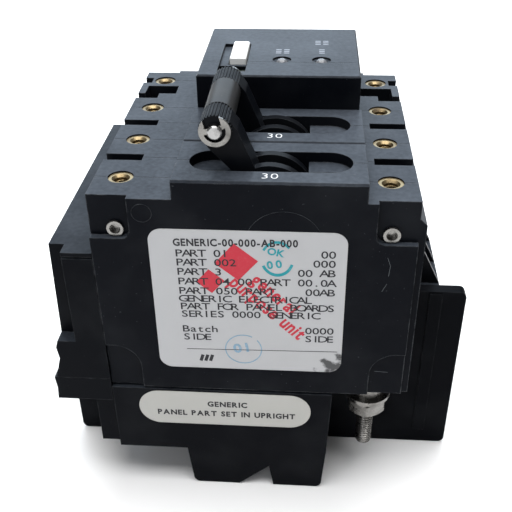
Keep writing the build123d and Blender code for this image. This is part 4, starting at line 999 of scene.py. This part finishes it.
@dataclass
class PrintField:
    """A flat field of print made of thin closed solids, laid out in millimetres.

    Args:
        origin: Where 0, 0 of the layout is, in metres.
        across: Direction of the first layout axis.
        up: Direction of the second layout axis.
        tilt: Turn of the whole layout, in degrees.
        film: Thickness of the print, in millimetres.
        lift: How far above the face the print starts, in millimetres.
    """

    origin: Vector
    across: Vector
    up: Vector
    tilt: float = 0.0
    film: float = 0.02
    lift: float = 0.0
    points: list[tuple[float, float, float]] = field(default_factory=list)
    faces: list[tuple[int, ...]] = field(default_factory=list)

    def add(self, points: Sequence[tuple[float, float, float]], faces: Sequence[tuple[int, ...]]) -> None:
        """Add a closed solid.

        Args:
            points: Corners, with a height of -0.5 to 0.5 through the film.
            faces: Faces as indices of those corners.
        """
        first = len(self.points)
        self.points.extend(points)
        self.faces.extend(tuple(first + k for k in face) for face in faces)

    def outline(self, corners: Sequence[Point]) -> None:
        """Add a filled outline, given anticlockwise."""
        count = len(corners)
        points = [(x, y, 0.5) for x, y in corners] + [(x, y, -0.5) for x, y in corners]
        sides = [((k + 1) % count, k, count + k, count + (k + 1) % count) for k in range(count)]
        self.add(points, [tuple(range(count)), tuple(range(2 * count - 1, count - 1, -1)), *sides])

    def bar(self, x: float, y: float, width: float, height: float, turn: float = 0.0) -> None:
        """Add a bar.

        Args:
            x: Middle of the bar along the first axis.
            y: Middle of the bar along the second axis.
            width: Its size along the first axis.
            height: Its size along the second axis.
            turn: Its turn, in degrees.
        """
        c, s = math.cos(math.radians(turn)), math.sin(math.radians(turn))
        half = ((-0.5, -0.5), (0.5, -0.5), (0.5, 0.5), (-0.5, 0.5))
        self.outline([(x + a * width * c - b * height * s, y + a * width * s + b * height * c)
                      for a, b in half])

    def arc(self, x: float, y: float, radius: float, width: float, start: float = 0.0,
            end: float = 360.0, squash: float = 1.0) -> None:
        """Add part of a ring.

        Args:
            x: Centre along the first axis.
            y: Centre along the second axis.
            radius: Middle radius.
            width: Width of the line.
            start: Where it starts, in degrees.
            end: Where it ends, in degrees.
            squash: Height of the ring over its width.
        """
        steps = max(6, int((end - start) / 9))
        spokes = [math.radians(start + (end - start) * k / steps) for k in range(steps + 1)]
        for a, b in zip(spokes, spokes[1:]):
            ring = [(radius - width / 2, b), (radius - width / 2, a), (radius + width / 2, a),
                    (radius + width / 2, b)]
            self.outline([(x + r * math.cos(t), y + r * math.sin(t) * squash) for r, t in ring])

    def text(self, press: GlyphPress, words: str, x: float, y: float, height: float, advance: float = 0.0,
             gap: float = 0.0, stretch: float = 1.0, turn: float = 0.0) -> None:
        """Add a line of characters.

        Args:
            press: Where the characters come from.
            words: The line.
            x: Left end of the line.
            y: Foot of the line.
            height: Height of a capital.
            advance: From one character to the next, or 0 for each character's own width.
            gap: Free width between two characters.
            stretch: Extra width of each character.
            turn: Turn of the line, in degrees.
        """
        c, s = math.cos(math.radians(turn)), math.sin(math.radians(turn))
        walked = 0.0
        for character in words:
            glyph = press.glyph(character)
            width = glyph.width * height * stretch
            step = advance or width
            left = walked + (step - width) / 2
            flat = [(left + px * height * stretch, py * height, pz / GLYPH_THICK)
                    for px, py, pz in glyph.points]
            self.add([(x + u * c - v * s, y + u * s + v * c, w) for u, v, w in flat], glyph.faces)
            walked += step + gap

    def make(self, name: str, ink: Ink, body: str) -> bpy.types.Object:
        """Turn the field into a piece.

        Args:
            name: Name of the piece.
            ink: Its ink.
            body: The body it rides on.

        Returns:
            The piece.
        """
        normal = self.across.cross(self.up)
        c, s = math.cos(math.radians(self.tilt)), math.sin(math.radians(self.tilt))
        places = []
        for x, y, z in self.points:
            u, v = x * c - y * s, x * s + y * c
            lift = self.lift + (z + 0.5) * self.film - PRINT_SINK
            places.append(self.origin + (self.across * u + self.up * v + normal * lift) * MM)
        mesh = bpy.data.meshes.new(name)
        mesh.from_pydata([tuple(p) for p in places], [], self.faces)
        mesh.validate()
        piece = put(name, mesh)
        RACK.dress(piece, ink.value)
        return settle(piece, body)


def front_sheet(node: str, **options: float) -> PrintField:
    """An empty field on the front face of a node, with X across and Z up."""
    return PrintField(Vector((0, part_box(node)[0].y, 0)), Vector((1, 0, 0)), Vector((0, 0, 1)), **options)


def top_sheet(node: str) -> PrintField:
    """An empty field on the top face of a node, with X across and Y up."""
    return PrintField(Vector((0, 0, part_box(node)[1].z)), Vector((1, 0, 0)), Vector((0, 1, 0)))


@dataclass
class RatingPrint:
    """Generic print on the large front label.

    Args:
        rows: Foot of each row and its words, left edge aligned.
        left: Left edge of the rows.
        letter: Height of a capital.
        advance: From one character to the next.
        tilt: Turn of the print on the label, in degrees.
        title: The bold first row.
        layer: Height of one ink above another, in millimetres.
    """

    rows: Sequence[tuple[float, str]] = (
        (-13.3, "PART 01            00"), (-15.6, "PART 002          000"), (-18.0, "PART 3          00 AB"),
        (-20.5, "PART 04 00 PART 00.0A"), (-23.0, "PART 050 PART    00AB"), (-25.1, "GENERIC ELECTRICAL"),
        (-27.2, "PART FOR PANEL BOARDS"), (-29.3, "SERIES 0000 GENERIC"), (-33.5, "Batch            0000"),
        (-35.8, "SIDE             SIDE"))
    left: float = -16.4
    letter: float = 1.75
    advance: float = 1.61
    tilt: float = 0.9
    title: str = "GENERIC-00-000-AB-000"
    layer: float = 0.008

    def sheet(self, lift: float) -> PrintField:
        """An empty field at a height in millimetres above the label."""
        return front_sheet("rating_label", tilt=self.tilt, lift=lift)

    def build(self) -> None:
        """Build, dress and settle every ink."""
        thin = GlyphPress(0.008)
        bold = GlyphPress(0.03)
        black = self.sheet(2 * self.layer)
        for foot, words in self.rows:
            black.text(thin, words, self.left, foot, self.letter, self.advance, stretch=1.28)
        black.text(bold, self.title, -16.7, -10.6, self.letter, gap=0.2, stretch=0.88)
        black.bar(1.2, -38.5, 34.2, 0.14)
        for x in (-12.6, -11.5, -10.4):
            black.bar(x, -41.1, 0.75, 1.9, -18.0)
        black.make("label_black_print", Ink.BLACK, "housing")
        red = self.sheet(0.0)
        for x, y, side in ((-3.6, -14.6, 6.6), (-9.4, -19.6, 4.4)):
            red.bar(x, y, side, side, -41.0)
        for words, x, y in (("general", -1.0, -19.4), ("purpose unit", -5.6, -20.2)):
            red.text(bold, words, x, y, 3.3, gap=0.3, stretch=0.8, turn=-45.0)
        red.make("label_red_print", Ink.RED, "housing")
        teal = self.sheet(self.layer)
        for width, start, end in ((0.5, 40.0, 150.0), (0.6, 205.0, 340.0)):
            teal.arc(5.1, -13.6, 3.3, width, start, end, 1.25)
        teal.text(bold, "OK", 2.9, -12.4, 1.7, 1.9, turn=-12.0)
        teal.text(bold, "00", 2.7, -16.2, 1.9, 1.9, turn=8.0)
        teal.make("label_teal_stamp", Ink.TEAL, "housing")
        blue = self.sheet(1.5 * self.layer)
        blue.arc(-2.9, -38.3, 4.1, 0.26, 60.0, 400.0)
        blue.text(bold, "01", -5.2, -39.4, 2.5, 2.2, stretch=1.1, turn=8.0)
        blue.make("label_blue_stamp", Ink.BLUE, "housing")


@dataclass
class NotePrint:
    """Two generic lines on the pill shaped label.

    Args:
        rows: Left edge, foot and words of each line.
    """

    rows: Sequence[tuple[float, float, str]] = (
        (-11.4, -56.6, "GENERIC"), (-23.7, -59.7, "PANEL PART SET IN UPRIGHT"))

    def build(self) -> None:
        """Build, dress and settle the print."""
        press = GlyphPress(0.04)
        sheet = front_sheet("note_label")
        for left, foot, words in self.rows:
            sheet.text(press, words, left, foot, 1.6, gap=0.22, stretch=0.96)
        sheet.make("note_print", Ink.BLACK, "housing")


@dataclass
class TopPrint:
    """Numerals on the bezels and faint marks on the module.

    Args:
        numerals: Middle of each numeral along X and Y.
        height: Height of a numeral.
        advance: From one numeral to the next.
        lamps: Middle and number of columns of the marks behind each lamp.
    """

    numerals: Sequence[Point] = ((3.6, -35.2), (3.6, -15.9))
    height: float = 2.1
    advance: float = 1.95
    lamps: Sequence[tuple[float, float, int]] = ((4.0, 17.4, 2), (13.8, 17.6, 1), (13.8, 24.4, 2))

    def build(self) -> None:
        """Build, dress and settle the print."""
        press = GlyphPress(-0.02)
        white = top_sheet("pole_1_front_shell")
        for x, y in self.numerals:
            white.text(press, "30", x - self.advance, y - self.height / 2, self.height, self.advance,
                       stretch=1.15)
        white.make("bezel_numerals", Ink.WHITE, "housing")
        faint = top_sheet("module_middle_shell")
        for x, y, columns in self.lamps:
            for column in range(columns):
                left = x + (column - (columns - 1) / 2) * 2.0
                for row in range(3):
                    faint.bar(left, y + (row - 1) * 1.25, 1.35, 0.62)
        faint.make("lamp_marks", Ink.FAINT, "housing")


@dataclass
class FaceScratches:
    """Bare scratches on the right of the front face.

    Args:
        strokes: Ends of each straight stroke, as X and Z pairs.
        width: Width of a stroke.
    """

    strokes: Sequence[tuple[Point, Point]] = (
        ((28.2, -12.6), (28.9, -14.6)), ((28.9, -14.6), (28.7, -17.2)), ((28.5, -19.2), (27.6, -21.2)),
        ((30.6, -43.8), (27.6, -43.6)))
    width: float = 0.08

    def build(self) -> None:
        """Build, dress and settle the scratches."""
        sheet = front_sheet("pole_1_front_shell", film=0.006)
        for (x0, z0), (x1, z1) in self.strokes:
            sheet.bar((x0 + x1) / 2, (z0 + z1) / 2, math.hypot(x1 - x0, z1 - z0), self.width,
                      math.degrees(math.atan2(z1 - z0, x1 - x0)))
        sheet.make("face_scratches", Ink.SCRATCH, "housing")


# ---- studio ------------------------------------------------------------------------------


@dataclass
class ShownNodes:
    """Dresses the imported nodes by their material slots."""

    def build(self) -> None:
        """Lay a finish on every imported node."""
        for entry in frame["record"]["subparts"]:
            name = entry["node"]
            finish = NODE_FINISHES.get(name, SLOT_FINISHES[entry["material_slot"]])
            RACK.dress(frame["nodes"][name], finish)
            LOG.info("%s dressed in %s", name, finish.name)


@dataclass
class Studio:
    """Pale floor, soft lights and the camera.

    Args:
        floor_size: Side of the square floor.
        lens: Focal length on a 36 mm sensor, in millimetres.
        eye: Where the camera is.
        right: The camera's right.
        down: The camera's down.
        world: Strength of the pale surroundings.
    """

    floor_size: float = 8.0
    lens: float = 54.69
    eye: tuple[float, float, float] = (0.0116, -0.1740, 0.0762)
    right: tuple[float, float, float] = (0.99743681, 0.07037128, -0.0129494)
    down: tuple[float, float, float] = (0.0277268, -0.5469627, -0.8366977)
    world: float = 0.2

    def light(self, name: str, place: Sequence[float], size: float, power: float,
              colour: tuple[float, float, float]) -> None:
        """Add a soft square light that looks at the middle of the object.

        Args:
            name: Its name.
            place: Where it is.
            size: Its side.
            power: Its power in watts.
            colour: Its colour.
        """
        lamp = bpy.data.lights.new(name, "AREA")
        lamp.size = size
        lamp.energy = power
        lamp.color = colour
        holder = put(name, lamp)
        holder.visible_camera = False
        aim = (Vector((0.0, 0.0, -0.03)) - Vector(place)).to_track_quat("-Z", "Y").to_matrix().to_4x4()
        holder.matrix_world = Matrix.Translation(Vector(place)) @ aim

    def build(self) -> None:
        """Build the floor, the lights, the world and the camera."""
        scene = bpy.context.scene
        half = self.floor_size / 2
        mesh = bpy.data.meshes.new("floor")
        low = CAD_BOX[0].z - 0.0002
        mesh.from_pydata([(-half, -half, low), (half, -half, low), (half, half, low), (-half, half, low)],
                         [], [(0, 1, 2, 3)])
        floor = put("floor", mesh)
        bench = MaterialBench("floor_paper", {"Specular IOR Level": 0.1, "Roughness": 0.9})
        tone = bench.tint(bench.noise(3.0, 1.0) * 0.1, (0.93, 0.93, 0.93), (0.91, 0.91, 0.91))
        mesh.materials.append(bench.finish(Base_Color=tone))
        self.light("overhead", (0.0, 0.05, 0.75), 0.9, 15.0, (1.0, 1.0, 1.0))
        self.light("back_sky", (-0.08, 0.85, 0.50), 0.9, 6.5, (0.72, 0.86, 1.0))
        self.light("front_fill", (-0.35, -0.75, 0.35), 0.5, 1.2, (0.92, 0.95, 1.0))
        world = bpy.data.worlds.new("pale")
        world.use_nodes = True
        backdrop = world.node_tree.nodes["Background"]
        backdrop.inputs["Color"].default_value = (1.0, 1.0, 1.0, 1.0)
        backdrop.inputs["Strength"].default_value = self.world
        scene.world = world
        scene.view_settings.view_transform = "Standard"
        camera = bpy.data.cameras.new("camera")
        camera.lens = self.lens
        camera.sensor_width = 36.0
        camera.clip_start = 0.01
        camera.clip_end = 20.0
        holder = put("camera", camera)
        across, up = Vector(self.right), -Vector(self.down)
        back = across.cross(up)
        turn = Matrix((across, up, back)).transposed().to_4x4()
        holder.matrix_world = Matrix.Translation(Vector(self.eye)) @ turn
        scene.camera = holder


def main() -> None:
    """Build every piece in order."""
    logging.basicConfig(level=logging.INFO, format="%(name)s: %(message)s")
    for part in (ShownNodes(), ThreadedStuds(), InsertThreads(), CoilWindings(), ReturnSpring(),
                 MouldRings(), RatingPrint(), NotePrint(), TopPrint(), FaceScratches(), Studio()):
        part.build()
        LOG.info("%s done", type(part).__name__)


if __name__ == "__main__":
    main()
